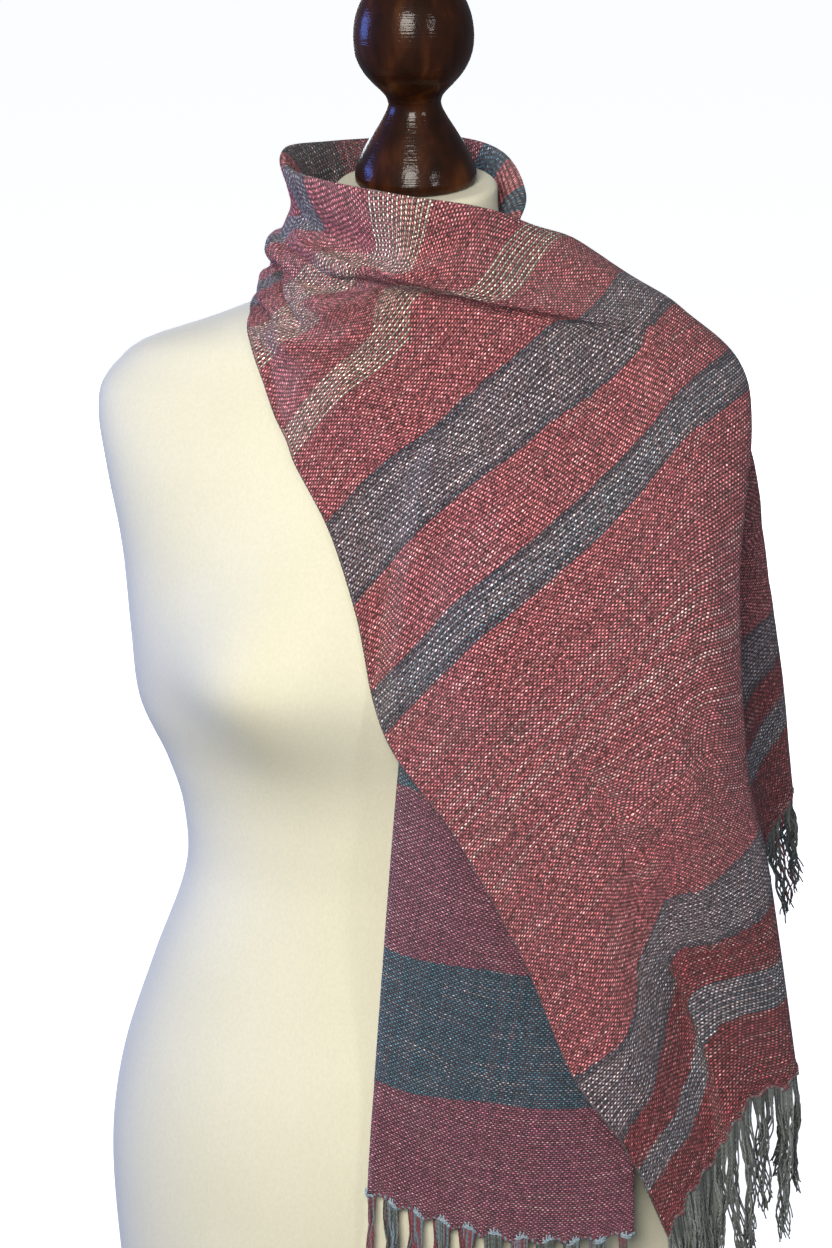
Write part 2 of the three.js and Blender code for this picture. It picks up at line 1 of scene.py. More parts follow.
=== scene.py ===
"""Looks of a hand-woven fringed scarf wound on a dress form, for Blender 4.5.

Metres, +Z up, the form faces -Y. The cloth's tables are in millimetres, as a weaver
would note them, and every mesh is turned to metres when it is made.
"""
import math
from functools import partial

import bpy
import numpy as np
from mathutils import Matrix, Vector


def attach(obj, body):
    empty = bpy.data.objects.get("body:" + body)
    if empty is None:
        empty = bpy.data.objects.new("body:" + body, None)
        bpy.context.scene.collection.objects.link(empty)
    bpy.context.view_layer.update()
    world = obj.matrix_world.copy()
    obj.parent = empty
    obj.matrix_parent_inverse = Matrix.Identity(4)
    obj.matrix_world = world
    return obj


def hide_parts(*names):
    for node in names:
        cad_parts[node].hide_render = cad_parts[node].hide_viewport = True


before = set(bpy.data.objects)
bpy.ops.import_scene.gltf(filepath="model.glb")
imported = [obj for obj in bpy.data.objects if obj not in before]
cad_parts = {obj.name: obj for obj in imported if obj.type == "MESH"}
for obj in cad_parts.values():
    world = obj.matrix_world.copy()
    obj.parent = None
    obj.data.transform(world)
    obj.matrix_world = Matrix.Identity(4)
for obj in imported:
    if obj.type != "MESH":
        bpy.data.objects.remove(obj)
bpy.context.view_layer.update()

MM = 0.001

# ---- sizes ------------------------------------------------------------------

CLOTH = 1.4  # thickness of the woven cloth
BODY_GAP = 2.0  # least air between the form and the cloth
UNDER_CAPE = 3.2  # least air between the tail and the cape over it
NECK_TILT = math.radians(8)
NECK_TOP = 722.0
NECK_ROOT = 660.0

# The dress form, one row for each level from its base up: height, half width, depth
# in front and behind, and how square the section is (2 is an ellipse).
FORM_LEVELS = np.array([
    (0, 170, 96, 108, 2.25), (60, 177, 101, 114, 2.25), (125, 182, 105, 118, 2.25),
    (165, 181, 105, 118, 2.25), (209, 173, 101, 112, 2.25), (260, 156, 92, 101, 2.25),
    (317, 136, 83, 90, 2.2), (355, 137, 84, 91, 2.2), (385, 146, 88, 96, 2.25),
    (420, 161, 94, 103, 2.35), (460, 165, 97, 108, 2.45), (510, 170, 93, 108, 2.5),
    (555, 179, 83, 98, 2.5), (584, 184, 70, 82, 2.5), (602, 183, 60, 70, 2.4),
    (615, 174, 54, 62, 2.2), (628, 158, 51, 58, 2.05), (641, 121, 49, 56, 1.95),
    (656, 86, 47, 53, 1.95), (676, 61, 46, 49, 2), (700, 48, 45, 46, 2),
    (722, 46, 45, 45, 2),
])
BUST = {"z": 452, "angle": 31, "spread": 25, "rise": 40, "above": 62, "below": 48}

# Where the named lines of the cloth lie across its width, from the selvedge on the
# chest to the one behind: selvedge, low, mid, tuck, band, ridge, valley, flare, back.
LINES = np.array([0, 60, 120, 180, 225, 275, 350, 425, 500], float)

# The cloth's lie over the cape and the cowl. Each key is the distance of a weft
# thread from the last end's hem, and its row holds that thread's point at each line.
CAPE_WEFTS = {
    0: [(161, -106, 134), (172, -96, 156), (184, -80, 172), (195, -84, 192),
        (206, -72, 208), (228, -46, 216), (186, 14, 280), (214, 90, 348), (104, 126, 350)],
    72: [(137, -124, 194), (148, -112, 222), (157, -92, 262), (166, -98, 288),
         (186, -86, 294), (216, -52, 300), (180, 10, 358), (206, 84, 424), (96, 124, 428)],
    114: [(109, -128, 234), (134, -124, 260), (143, -110, 293), (153, -104, 321),
          (179, -92, 326), (209, -55, 344), (174, 8, 400), (199, 76, 454), (92, 122, 457)],
    190: [(79, -130, 305), (105, -132, 339), (129, -126, 363), (154, -114, 382),
          (178, -94, 398), (197, -56, 399), (172, 6, 462), (190, 62, 508), (86, 118, 506)],
    270: [(40, -132, 377), (76, -138, 418), (108, -132, 447), (141, -114, 475),
          (169, -90, 495), (190, -50, 501), (180, 4, 534), (180, 48, 562), (80, 110, 562)],
    335: [(1, -126, 430), (48, -134, 482), (88, -122, 516), (128, -96, 552),
          (161, -60, 590), (189, -12, 608), (180, 24, 606), (152, 64, 602), (74, 98, 610)],
    396: [(-20, -104, 495), (24, -100, 547), (68, -84, 581), (122, -40, 629),
          (136, -32, 645), (148, -2, 654), (150, 32, 640), (124, 66, 624), (60, 86, 640)],
    436: [(-36, -88, 538), (-8, -82, 570), (26, -74, 596), (78, -46, 647),
          (103, -42, 656), (116, -5, 671), (118, 32, 664), (100, 64, 645), (53, 79, 652)],
    483: [(-58, -75, 574), (-35, -70, 604), (-3, -64, 631), (28, -62, 663),
          (60, -58, 668), (80, -20, 692), (90, 14, 688), (84, 42, 674), (69, 55, 671)],
    500: [(-63, -70, 585), (-43, -67, 613), (-17, -63, 638), (10, -65, 666),
          (44, -66, 675), (66, -34, 700), (74, -10, 697), (80, 12, 688), (76, 32, 682)],
    522: [(-72, -60, 599), (-54, -62, 624), (-32, -62, 645), (-4, -68, 669),
          (26, -71, 682), (46, -54, 713), (49, -44, 708), (53, -34, 698), (57, -26, 690)],
    563: [(-86, -36, 630), (-71, -46, 645), (-52, -54, 656), (-18, -67, 674),
          (-3, -71, 690), (0, -70, 722), (0, -61, 718), (0, -57, 705), (0, -56, 690)],
    638: [(-91, -16, 650), (-81, -21, 661), (-75, -24, 676), (-63, -30, 688),
          (-57, -34, 702), (-66, -27, 728), (-59, -23, 724), (-54, -20, 710), (-53, -19, 696)],
}

# The wrap round the back of the neck, in radial sections: distance along the scarf,
# direction in degrees from +X, then radius and height of its foot and top edge.
COLLAR_SECTIONS = np.array([
    (690, 174, 88, 655, 77, 737), (735, 143, 83, 648, 72, 736), (785, 112, 78, 642, 68, 736),
    (830, 80, 74, 642, 68, 737), (875, 48, 72, 654, 66, 731), (915, 18, 69, 676, 63, 713),
    (945, -8, 63, 679, 58, 699),
])
# The collar's section at each line: share of the height, share of the way from the
# top's radius to the foot's, and millimetres inwards.
COLLAR_PROFILE = np.array([
    (0, 1, 0), (0.16, 0.55, 0), (0.36, 0.35, 0), (0.53, -0.15, 0), (0.7, -0.45, 0),
    (1, 0, 0), (0.95, 0, -7), (0.8, 0, -13), (0.63, 0, -15),
])

# The tail under the cape: height, left and right edge, depth in front of the axis,
# and how much its edges fall back.
TAIL_LEVELS = np.array([
    (110, -12, 141, 113, 5), (200, -8, 140, 115, 6), (300, -1, 139, 119, 8),
    (380, 5, 138, 123, 12), (455, 11, 135, 127, 22), (540, 18, 122, 96, 14),
    (600, 28, 96, 68, 10), (656, 38, 84, 42, 8),
])
TAIL_TOP = 652.0
TAIL_HEM = {"left": 154, "middle": 131, "right": 136}
TAIL_LAYER = 3.4  # from the middle of its front layer to the middle of its hidden one
TAIL_REST = 3.2  # from the middle of its hidden layer to the air over the form
TAIL_BACK_INSET = 7.0  # how far the hidden layer ends short of the front one
# Beside the tail the cape falls back: from a start out from its edge, over a reach, by a
# fall. It keeps clear of the tail in front of a depth and up to a height over its top.
BESIDE_TAIL = {"start": 4.0, "reach": 26.0, "fall": 30.0, "front": -10.0, "over": 12.0}

# ---- curves -----------------------------------------------------------------


def read_rows(keys, values, at):
    """Smooth curve through the rows of a table, read at any keys: a cubic between each
    two rows, whose slope at a row is the mean slope between that row's neighbours."""
    values = np.asarray(values, float)
    at = np.asarray(at, float)
    last = len(keys) - 1
    before = np.maximum(np.arange(last + 1) - 1, 0)
    after = np.minimum(np.arange(last + 1) + 1, last)
    extra = (1,) * (values.ndim - 1)
    slopes = (values[after] - values[before]) / (keys[after] - keys[before]).reshape(-1, *extra)
    i = np.searchsorted(keys[1:last], at)
    span = (keys[i + 1] - keys[i]).reshape(at.shape + extra)
    t = np.clip((at - keys[i]).reshape(at.shape + extra) / span, 0, 1)
    rise = t * t * (3 - 2 * t)
    return (values[i] * (1 - rise) + values[i + 1] * rise
            + slopes[i] * span * t * (1 - t) ** 2 - slopes[i + 1] * span * t * t * (1 - t))


def smooth(t):
    """Goes from 0 to 1 with level ends: 3t squared less 2t cubed."""
    t = np.clip(t, 0, 1)
    return t * t * (3 - 2 * t)


def bell(t):
    """Bell curve: e to the power of minus t squared."""
    return np.exp(-np.square(t))


def unit(vectors):
    """Vectors of length 1 in the same directions."""
    return vectors / np.maximum(np.linalg.norm(vectors, axis=-1, keepdims=True), 1e-9)


def read_line(line, run, at):
    """Points of a line at distances along it, straight from point to point."""
    return np.stack([np.interp(at, run, line[:, k]) for k in range(3)], -1)


# ---- the dress form's surface -----------------------------------------------


def form_radius(theta, z):
    """Radius of the form at an angle and a height: a rounded-square section whose
    half width and depths are read from its levels, plus two bell-shaped mounds."""
    side, front, back, power = np.moveaxis(
        read_rows(FORM_LEVELS[:, 0], FORM_LEVELS[:, 1:], np.clip(z, 0, NECK_TOP)), -1, 0)
    depth = np.where(np.sin(theta) < 0, front, back)
    plain = ((np.abs(np.cos(theta)) / side) ** power
             + (np.abs(np.sin(theta)) / depth) ** power) ** (-1 / power)
    turn = np.degrees(theta) % 360 - 270
    level = bell((z - BUST["z"]) / np.where(z > BUST["z"], BUST["above"], BUST["below"]))
    mounds = sum(bell((turn + side) / BUST["spread"]) for side in (BUST["angle"], -BUST["angle"]))
    return plain + BUST["rise"] * level * mounds


def clear_of_form(points, air):
    """Moves points out of the form along its slope until they stand off by the air."""
    for _ in range(5):
        x, y, z = np.moveaxis(points, -1, 0)

        def outside(x, y, z):
            return np.hypot(x, y) - form_radius(np.arctan2(y, x), z)

        here = outside(x, y, z)
        step = 0.5
        slope = np.stack([outside(x + step, y, z) - here, outside(x, y + step, z) - here,
                          outside(x, y, z + step) - here], -1) / step
        steep = np.maximum(np.linalg.norm(slope, axis=-1), 0.2)
        short = np.maximum(air - here / steep, 0)
        points = points + slope / steep[..., None] * short[..., None]
    return points


def form_front_y(x, z):
    """Depth of the form's front at a place across and a height, by halving."""
    outside = np.full(np.shape(x), -260.0)
    inside = np.zeros(np.shape(x))
    for _ in range(24):
        y = (outside + inside) / 2
        clear = np.hypot(x, y) > form_radius(np.arctan2(y, x), z)
        outside = np.where(clear, y, outside)
        inside = np.where(clear, inside, y)
    return outside


def tail_level(z):
    """Left edge, right edge, depth and fall of the tail at a height."""
    return np.moveaxis(read_rows(TAIL_LEVELS[:, 0], TAIL_LEVELS[:, 1:], z), -1, 0)


def tail_face_y(x, z):
    """Depth of the tail's face: a shallow arch across, or the form's front plus the
    cloth's layers where that stands further out."""
    left, right, depth, fall = tail_level(z)
    side = np.clip((x - (left + right) / 2) / ((right - left) / 2), -1.2, 1.2)
    resting = form_front_y(x, z) - BODY_GAP - TAIL_REST - TAIL_LAYER
    return np.minimum(-depth + fall * side * side, resting)


def clear_of_tail(points):
    """Moves points of the cape in front of the tail that hangs under it, and lets
    them fall back to their place beside it."""
    x, y, z = np.moveaxis(points, -1, 0)
    left, right, _, _ = tail_level(z)
    beside = np.maximum(np.maximum(left - x, x - right), 0)
    start, reach, fall, front, over = BESIDE_TAIL.values()
    face = tail_face_y(np.clip(x, left, right), z)
    guard = face - CLOTH - UNDER_CAPE + fall * smooth(np.maximum(beside - start, 0) / reach)
    meets = (y <= front) & (z <= TAIL_TOP + over) & (beside <= reach)
    return np.stack([x, np.where(meets, np.minimum(y, guard), y), z], -1)


# ---- meshes -----------------------------------------------------------------


def make_piece(name, points, faces, material, uv=None, marks=None):
    """A mesh object at the origin from points in millimetres and an array of faces.
    uv holds each point's place in metres in the map that the weave reads, and marks
    holds named values of each point."""
    mesh = bpy.data.meshes.new(name)
    mesh.from_pydata((points * MM).tolist(), [], faces if isinstance(faces, list) else faces.tolist())
    mesh.polygons.foreach_set("use_smooth", np.full(len(mesh.polygons), True))
    if uv is not None:
        corners = np.empty(len(mesh.loops), np.int32)
        mesh.loops.foreach_get("vertex_index", corners)
        layer = mesh.uv_layers.new(name="weave")
        layer.data.foreach_set("uv", uv[corners].astype(np.float32).ravel())
    for label, values in (marks or {}).items():
        mark = mesh.attributes.new(label, "FLOAT", "POINT")
        mark.data.foreach_set("value", values.astype(np.float32))
    mesh.materials.append(material)
    piece = bpy.data.objects.new(name, mesh)
    bpy.context.collection.objects.link(piece)
    return piece


def surface_normals(grid):
    """Unit normals of a grid of points: across its columns times along its rows."""
    along = np.gradient(grid, axis=0)
    across = np.gradient(grid, axis=1)
    return unit(np.cross(across, along))


def grid_faces(rows, columns, start=0, flip=False):
    """Quads of a grid of points, row by row."""
    i, j = np.meshgrid(np.arange(rows - 1), np.arange(columns - 1), indexing="ij")
    a = start + (i * columns + j).ravel()
    quads = np.stack([a, a + 1, a + columns + 1, a + columns], -1)
    return quads[:, ::-1] if flip else quads


def cloth_wall(grid, place):
    """Closed shell on a grid of points down the middle of the cloth: both faces lie
    half the thickness out along the normals, joined by a rim of quads."""
    rows, columns = grid.shape[:2]
    normal = surface_normals(grid)
    points = np.concatenate([(grid + normal * CLOTH / 2).reshape(-1, 3),
                             (grid - normal * CLOTH / 2).reshape(-1, 3)])
    count = rows * columns
    rim = np.concatenate([np.arange(columns), np.arange(1, rows) * columns + columns - 1,
                          (rows - 1) * columns + np.arange(columns - 2, -1, -1),
                          np.arange(rows - 2, 0, -1) * columns])
    after = np.roll(rim, -1)
    edge = np.stack([after, rim, rim + count, after + count], -1)
    faces = np.concatenate([grid_faces(rows, columns),
                            grid_faces(rows, columns, count, flip=True), edge])
    uv = np.concatenate([place.reshape(-1, 2)] * 2) * MM
    return points, faces, uv


def steps(start, end, size, hem=0.5):
    """Even steps of about a size, with one more a little in from each end."""
    inner = np.linspace(start, end, max(int(round((end - start) / size)), 2) + 1)
    return np.concatenate([[start, start + hem], inner[1:-1], [end - hem, end]])


def arc_length(grid, axis):
    """Distance run over the grid's points along an axis, from its first point."""
    step = np.linalg.norm(np.diff(grid, axis=axis), axis=-1)
    total = np.cumsum(step, axis=axis)
    return np.concatenate([np.zeros_like(np.take(total, [0], axis=axis)), total], axis=axis)


def ring_wall(rings, sides):
    """Quads between closed rings of points, ring by ring."""
    i, k = np.meshgrid(np.arange(rings - 1), np.arange(sides), indexing="ij")
    a = (i * sides + k).ravel()
    b = (i * sides + (k + 1) % sides).ravel()
    return np.stack([a, b, b + sides, a + sides], -1)


def tubes(paths, radius, sides):
    """Closed tubes along many paths at once. paths is strands by rings by xyz and
    radius is strands by rings: each ring is a circle square to its path, and a
    flat fan closes each end."""
    count, rings = paths.shape[:2]
    tangent = unit(np.gradient(paths, axis=1))
    steep = np.abs(tangent[:, :1, 2:]) > 0.8
    guide = np.where(steep, np.array([1.0, 0.0, 0.0]), np.array([0.0, 0.0, 1.0]))
    side = unit(np.cross(tangent, np.broadcast_to(guide, tangent.shape)))
    other = np.cross(tangent, side)
    turn = 2 * np.pi * np.arange(sides) / sides
    around = np.cos(turn)[:, None] * side[:, :, None] + np.sin(turn)[:, None] * other[:, :, None]
    ring = paths[:, :, None] + around * radius[:, :, None, None]
    ends = paths[:, [0, -1]]
    points = np.concatenate([ring.reshape(count, -1, 3), ends], 1)
    per = rings * sides + 2
    wall = ring_wall(rings, sides)
    wall = np.concatenate([wall[:, [0, 1, 2]], wall[:, [0, 2, 3]]])
    k = np.arange(sides)
    nxt = (k + 1) % sides
    last = (rings - 1) * sides
    caps = np.concatenate([np.stack([np.full(sides, rings * sides), nxt, k], -1),
                           np.stack([np.full(sides, rings * sides + 1), last + k, last + nxt], -1)])
    one = np.concatenate([wall, caps])
    faces = (one[None] + (np.arange(count) * per)[:, None, None]).reshape(-1, 3)
    run = arc_length(paths, 1)
    place = np.stack(np.broadcast_arrays(turn / (2 * np.pi), run[:, :, None] * MM), -1)
    place = np.concatenate([place.reshape(count, -1, 2), np.zeros((count, 2, 2))], 1)
    return points.reshape(-1, 3), faces, place.reshape(-1, 2)


# ---- the cloth's shape ------------------------------------------------------


def collar_wefts():
    """Points of the collar's sections at each line, from its radii and heights."""
    _, angle, foot, foot_z, top, top_z = COLLAR_SECTIONS.T[:, :, None]
    rise, spread, inside = COLLAR_PROFILE.T[:, None, :]
    radius = top + (foot - top) * spread + inside
    turn = np.radians(angle)
    return np.stack([radius * np.cos(turn), radius * np.sin(turn),
                     foot_z + (top_z - foot_z) * rise + 0 * turn], -1)


WEFT_ALONG = np.concatenate([np.array(list(CAPE_WEFTS), float), COLLAR_SECTIONS[:, 0]])
WEFT_POINTS = np.concatenate([np.array(list(CAPE_WEFTS.values()), float), collar_wefts()])
SCARF_END = WEFT_ALONG[-1]

# Broad folds, as in the solids, but the two under the lip start further from the hem:
# start and end along and across the cloth, width and height. A trough is negative.
FOLDS = [
    (40, 150, 230, 135, 20, -3), (60, 225, 230, 200, 15, 4), (470, 172, 620, 172, 8, -4),
    (480, 190, 620, 190, 9, 4), (560, 60, 780, 45, 12, 4), (570, 95, 830, 100, 9, -5),
    (560, 135, 860, 140, 12, 4), (0, 395, 260, 385, 15, -7), (0, 465, 240, 455, 16, -6),
    (120, 430, 330, 400, 16, 5),
]


def lie_of_cloth(along, across):
    """Grid of points of the cloth: a curve along the scarf through each named line,
    then a curve across the scarf through those."""
    knots = read_rows(WEFT_ALONG, WEFT_POINTS, along)
    grid = read_rows(LINES, np.moveaxis(knots, 1, 0), across)
    return np.moveaxis(grid, 1, 0)


def broad_folds(along, across):
    """Height of the broad folds: each is a bell across a straight run between its two
    ends, wider along the scarf than across it."""
    a, c = np.meshgrid(along, across, indexing="ij")
    height = np.zeros_like(a)
    for a0, c0, a1, c1, width, rise in FOLDS:
        run = (a1 - a0) ** 2 + (c1 - c0) ** 2
        t = np.clip(((a - a0) * (a1 - a0) + (c - c0) * (c1 - c0)) / run, 0, 1)
        off = np.hypot((a - a0 - t * (a1 - a0)) * 0.5, c - c0 - t * (c1 - c0))
        height += rise * bell(off / width)
    return height


# Creases, listed one by one. Each runs from a place to a place by way of a third, given
# along and across the cloth; then its width on the near and the far side of its
# line, its height, and how far its crest leans over to the near side.
CREASES = [
    # The cowl at the left of the neck: rolls that gather towards the shoulder.
    (656, 232, 600, 190, 512, 254, 5, 12, -9, 0),
    (690, 50, 646, 182, 518, 236, 8, 11, 4.6, 2.0),
    (686, 68, 622, 134, 552, 174, 5, 6, -8, 0),
    (664, 20, 616, 72, 540, 128, 9, 9, 3.0, 1),
    (626, 2, 596, 18, 528, 108, 5, 7, -7.0, 0),
    (596, 2, 560, 60, 500, 140, 9, 5, 6.0, 2),
    (535, 96, 488, 100, 436, 140, 9, 9, -3, 0),
    (505, 72, 480, 66, 430, 100, 13, 11, 2.2, 0),
    (470, 30, 430, 60, 372, 70, 12, 14, -1.8, 0),
    (440, 96, 392, 112, 330, 108, 14, 12, 1.6, 0),
    # The upper band, from the neck to the point of the shoulder.
    (520, 262, 470, 240, 410, 262, 10, 8, -2.4, 0),
    (470, 268, 420, 258, 350, 262, 9, 12, 2.2, 0),
    # The chest and the lower front, with the pinched fold above the bend of the hem.
    (253, 106, 234, 136, 150, 156, 6, 9, -8.0, 0),
    (246, 142, 206, 140, 132, 178, 10, 6, 7, 2.0),
    (207, 127, 200, 160, 188, 194, 6, 6, 4.0, 0),
    (196, 134, 188, 160, 176, 186, 6, 6, -3.6, 0),
    (143, 166, 100, 178, 24, 188, 10, 7, 5.0, 1),
    (120, 140, 80, 158, 14, 168, 10, 10, -5.0, 0),
    (168, 206, 120, 222, 40, 218, 10, 10, -5.0, 0),
    (96, 50, 60, 74, 6, 92, 11, 11, 4.0, 0),
    (300, 190, 262, 206, 196, 214, 12, 10, -2.6, 0),
    (318, 232, 262, 244, 170, 236, 10, 12, 2.6, 0),
    (330, 60, 280, 92, 226, 88, 16, 14, -1.8, 0),
    (210, 30, 170, 52, 120, 50, 12, 12, 1.8, 0),
    # The side and the back, laid in the same uneven way.
    (20, 322, 150, 330, 320, 318, 13, 11, -5.5, 0),
    (6, 362, 120, 352, 230, 366, 10, 12, 4.0, 0),
    (60, 300, 170, 306, 300, 296, 12, 10, -3.5, 0),
    (10, 436, 130, 446, 290, 424, 12, 15, -5.0, 0),
    (0, 480, 90, 476, 200, 486, 9, 12, 3.5, 0),
    (150, 462, 240, 470, 360, 456, 12, 10, -3.6, 0),
    (180, 398, 260, 386, 350, 396, 10, 12, 3.2, 0),
    (300, 352, 380, 362, 470, 344, 12, 10, -3.0, 0),
    (340, 430, 420, 418, 500, 424, 10, 12, 2.6, 0),
    # The wrap round the back of the neck.
    (680, 66, 760, 92, 850, 58, 8, 7, 3.8, 1),
    (700, 122, 780, 140, 905, 112, 6, 8, -4.2, 0),
    (712, 168, 790, 152, 880, 176, 7, 6, 3.0, 1),
    (740, 26, 820, 48, 905, 30, 7, 8, -3.6, 0),
    (800, 86, 860, 72, 930, 90, 7, 7, 2.8, 0),
    (690, 216, 750, 204, 815, 222, 7, 6, -3.0, 0),
    (820, 206, 872, 216, 925, 200, 7, 6, -2.6, 0),
]

# The lip where the upper band laps over the lower drape. At each place across: how
# far it stands out and how far it hangs down over the cloth below.
LIP = np.array([
    (146, 0, 0), (166, -0.5, -2.0), (180, -1.6, -5.0), (190, -1.8, -6.0), (198, -0.4, -2.5),
    (206, 2.2, 0.5), (213, 3.6, 2.2), (221, 3.5, 2.0), (231, 2.2, 1.0), (246, 0, 0),
])
LIP_START, LIP_END = 385.0, 600.0  # its ends, by distance from the hem
LIP_RISE, LIP_FALL = 110.0, 50.0  # over how much of that it grows and fades
LIP_LINE, LIP_SIDES = 200.0, (150.0, 262.0)  # where it runs across the cloth, and beside it


def lip_push(along, across, grid):
    """Shift of each point for the lapped edge: out along the mean of the normals on both
    sides of it, and down square to its run, from the lip's table, fading at both ends."""
    low, high = (np.abs(across - line).argmin() for line in LIP_SIDES)
    normal = surface_normals(grid)
    out = unit(normal[:, low] + normal[:, high])
    run = unit(np.gradient(grid[:, np.abs(across - LIP_LINE).argmin()], axis=0))
    down = np.cross(out, run)
    down *= -np.sign(down[:, 2:])
    fade = smooth((along - LIP_START) / LIP_RISE) * (1 - smooth((along - LIP_END + LIP_FALL) / LIP_FALL))
    stand, hang = (np.interp(across, LIP[:, 0], LIP[:, k])[None, :, None] for k in (1, 2))
    return (out[:, None] * stand + down[:, None] * hang) * fade[:, None, None]


def crease_push(along, across, grid, normal):
    """Shift of each point for the creases: a bell of its distance from the crease's
    curved line, with its own width to each side, fading out towards both ends, along
    the normal, and sideways for the lean."""
    a, c = np.meshgrid(along, across, indexing="ij")
    shift = np.zeros_like(grid)
    for a0, c0, am, cm, a1, c1, near, far, rise, lean in CREASES:
        t = np.linspace(0, 1, 17)
        line_a = (1 - t) ** 2 * a0 + 2 * t * (1 - t) * am + t * t * a1
        line_c = (1 - t) ** 2 * c0 + 2 * t * (1 - t) * cm + t * t * c1
        reach = 3.5 * max(near, far) + 25
        box = ((a > line_a.min() - reach) & (a < line_a.max() + reach)
               & (c > line_c.min() - reach) & (c < line_c.max() + reach))
        if not box.any():
            continue
        points = grid[box]
        ia = np.interp(line_a, along, np.arange(len(along)))
        ic = np.interp(line_c, across, np.arange(len(across)))
        line = grid[np.round(ia).astype(int), np.round(ic).astype(int)]
        start, leg = line[:-1], np.diff(line, axis=0)
        long = np.maximum((leg ** 2).sum(-1), 1e-6)
        to = points[:, None] - start
        share = np.clip((to * leg).sum(-1) / long, 0, 1)
        gap = to - leg * share[..., None]
        distance = np.linalg.norm(gap, axis=-1)
        pick = distance.argmin(1)
        rows = np.arange(len(points))
        distance = distance[rows, pick]
        ran = (pick + share[rows, pick]) / len(leg)
        way = leg[pick] / np.sqrt(long[pick])[:, None]
        sideways = np.cross(way, normal[box])
        signed = (gap[rows, pick] * sideways).sum(-1)
        width = np.where(signed > 0, near, far)
        fade = np.sin(np.pi * np.clip(ran, 0.02, 0.98)) ** 0.6
        shape = bell(distance / width) * fade
        shift[box] += normal[box] * (rise * shape)[:, None] + sideways * (lean * shape)[:, None]
    return shift


def scarf_grid(along, across):
    """The cloth's middle surface with its folds and creases, clear of the form and of
    the tail."""
    grid = lie_of_cloth(along, across)
    normal = surface_normals(grid)
    grid = grid + normal * broad_folds(along, across)[..., None]
    normal = surface_normals(grid)
    grid = grid + crease_push(along, across, grid, normal) + lip_push(along, across, grid)
    return clear_of_tail(clear_of_form(grid, BODY_GAP + CLOTH / 2))


# How far the threads have slipped along the scarf, in millimetres: first under the
# lip, by distance from the hem, then over the lower front, by distance from the hem
# (rows) and by line (columns).
LIP_SLIP = np.array([
    (360, 0), (410, 8), (440, 4), (500, -14), (520, -18), (560, -28), (600, -32), (650, -26), (720, 0),
])
HEM_SLIP_LINES = np.array([0, 60, 125, 160, 185, 225, 270, 345, 500], float)
HEM_SLIP = {
    0: (0,) * 9,
    38: (-5, 3, 11, 2, -6, -8, -8, -10, -10),
    80: (-2, 1, 2, -3, -13, -12, -14, -16, -14),
    130: (-2, 2, 1, -4, -17, -17, -32, -22, -14),
    200: (0, 0, 0, 0, -8, -12, -20, -14, -8),
    300: (0,) * 9,
    SCARF_END: (0,) * 9,
}


def thread_slip(along, across):
    """Slip of the threads at each point: the lip's table under the upper band, plus the
    lower front's table."""
    a, c = np.meshgrid(along, across, indexing="ij")
    start = 130 - 50 * smooth((a - 530) / 60)
    under = smooth((c - start) / 42) * (1 - smooth((c - 200) / 25))
    rows = read_rows(np.array(list(HEM_SLIP), float), np.array(list(HEM_SLIP.values()), float), along)
    low = read_rows(HEM_SLIP_LINES, rows.T, across).T
    return np.interp(a, LIP_SLIP[:, 0], LIP_SLIP[:, 1]) * under + low


def weave_place(along, grid):
    """Each point's place in the weave: its distance from the selvedge along its own
    weft thread, and its distance along the scarf."""
    return np.stack([arc_length(grid, 1), np.repeat(along[:, None], grid.shape[1], 1)], -1)


# The arcs of the hems: width, height, and how far up the cloth they can be felt.
SCALLOP = {"pitch": 17.0, "rise": 4.4, "reach": 12.0}


def scalloped(grid):
    """Draws the hem up between the points that its fringe hangs from: a row of arcs, the
    size of a sine along the hem, which fades out over the cloth above."""
    run = arc_length(grid[:1], 1)[0]
    height = arc_length(grid, 0)
    way = unit(grid[4] - grid[0])
    lift = SCALLOP["rise"] * np.abs(np.sin(np.pi * run / SCALLOP["pitch"]))
    fade = np.clip(1 - height / SCALLOP["reach"], 0, 1)
    return grid + way[None] * (lift * fade)[..., None]


def tail_hem_z(share):
    """Height of the tail's hem across it: a straight line with a shallow sag."""
    dip = 1 - (2 * share - 1) ** 2
    level = TAIL_HEM["left"] + (TAIL_HEM["right"] - TAIL_HEM["left"]) * share
    return level + (TAIL_HEM["middle"] - (TAIL_HEM["left"] + TAIL_HEM["right"]) / 2) * dip


def tail_grid(rows, across_steps):
    """The tail's middle surface, folded lengthwise: over its hidden layer, round the
    fold at the left, and back over the front layer."""
    out = np.linspace(0.012, 1, across_steps)
    turn = np.linspace(0, np.pi, 7)[1:-1]
    share = np.concatenate([out[::-1], -0.011 * np.sin(turn), out])
    behind = np.concatenate([np.full(across_steps, TAIL_LAYER),
                             TAIL_LAYER / 2 * (1 + np.cos(turn)), np.zeros(across_steps)])
    level = np.linspace(1, 0, rows)[:, None]
    z = TAIL_TOP + (tail_hem_z(np.clip(share, 0, 1)) - TAIL_TOP) * level
    left, right, _, _ = tail_level(z)
    edge = np.where(behind > TAIL_LAYER / 2, right - TAIL_BACK_INSET, right)
    x = left + (edge - left) * share
    return np.stack([x, tail_face_y(x, z) + behind, z], -1)


# ---- material tools ---------------------------------------------------------


def linear(hex_colour):
    """An sRGB hex colour as linear red, green and blue with full alpha."""
    srgb = np.array([int(hex_colour[i:i + 2], 16) for i in (1, 3, 5)]) / 255
    return (*np.where(srgb <= 0.04045, srgb / 12.92, ((srgb + 0.055) / 1.055) ** 2.4), 1.0)


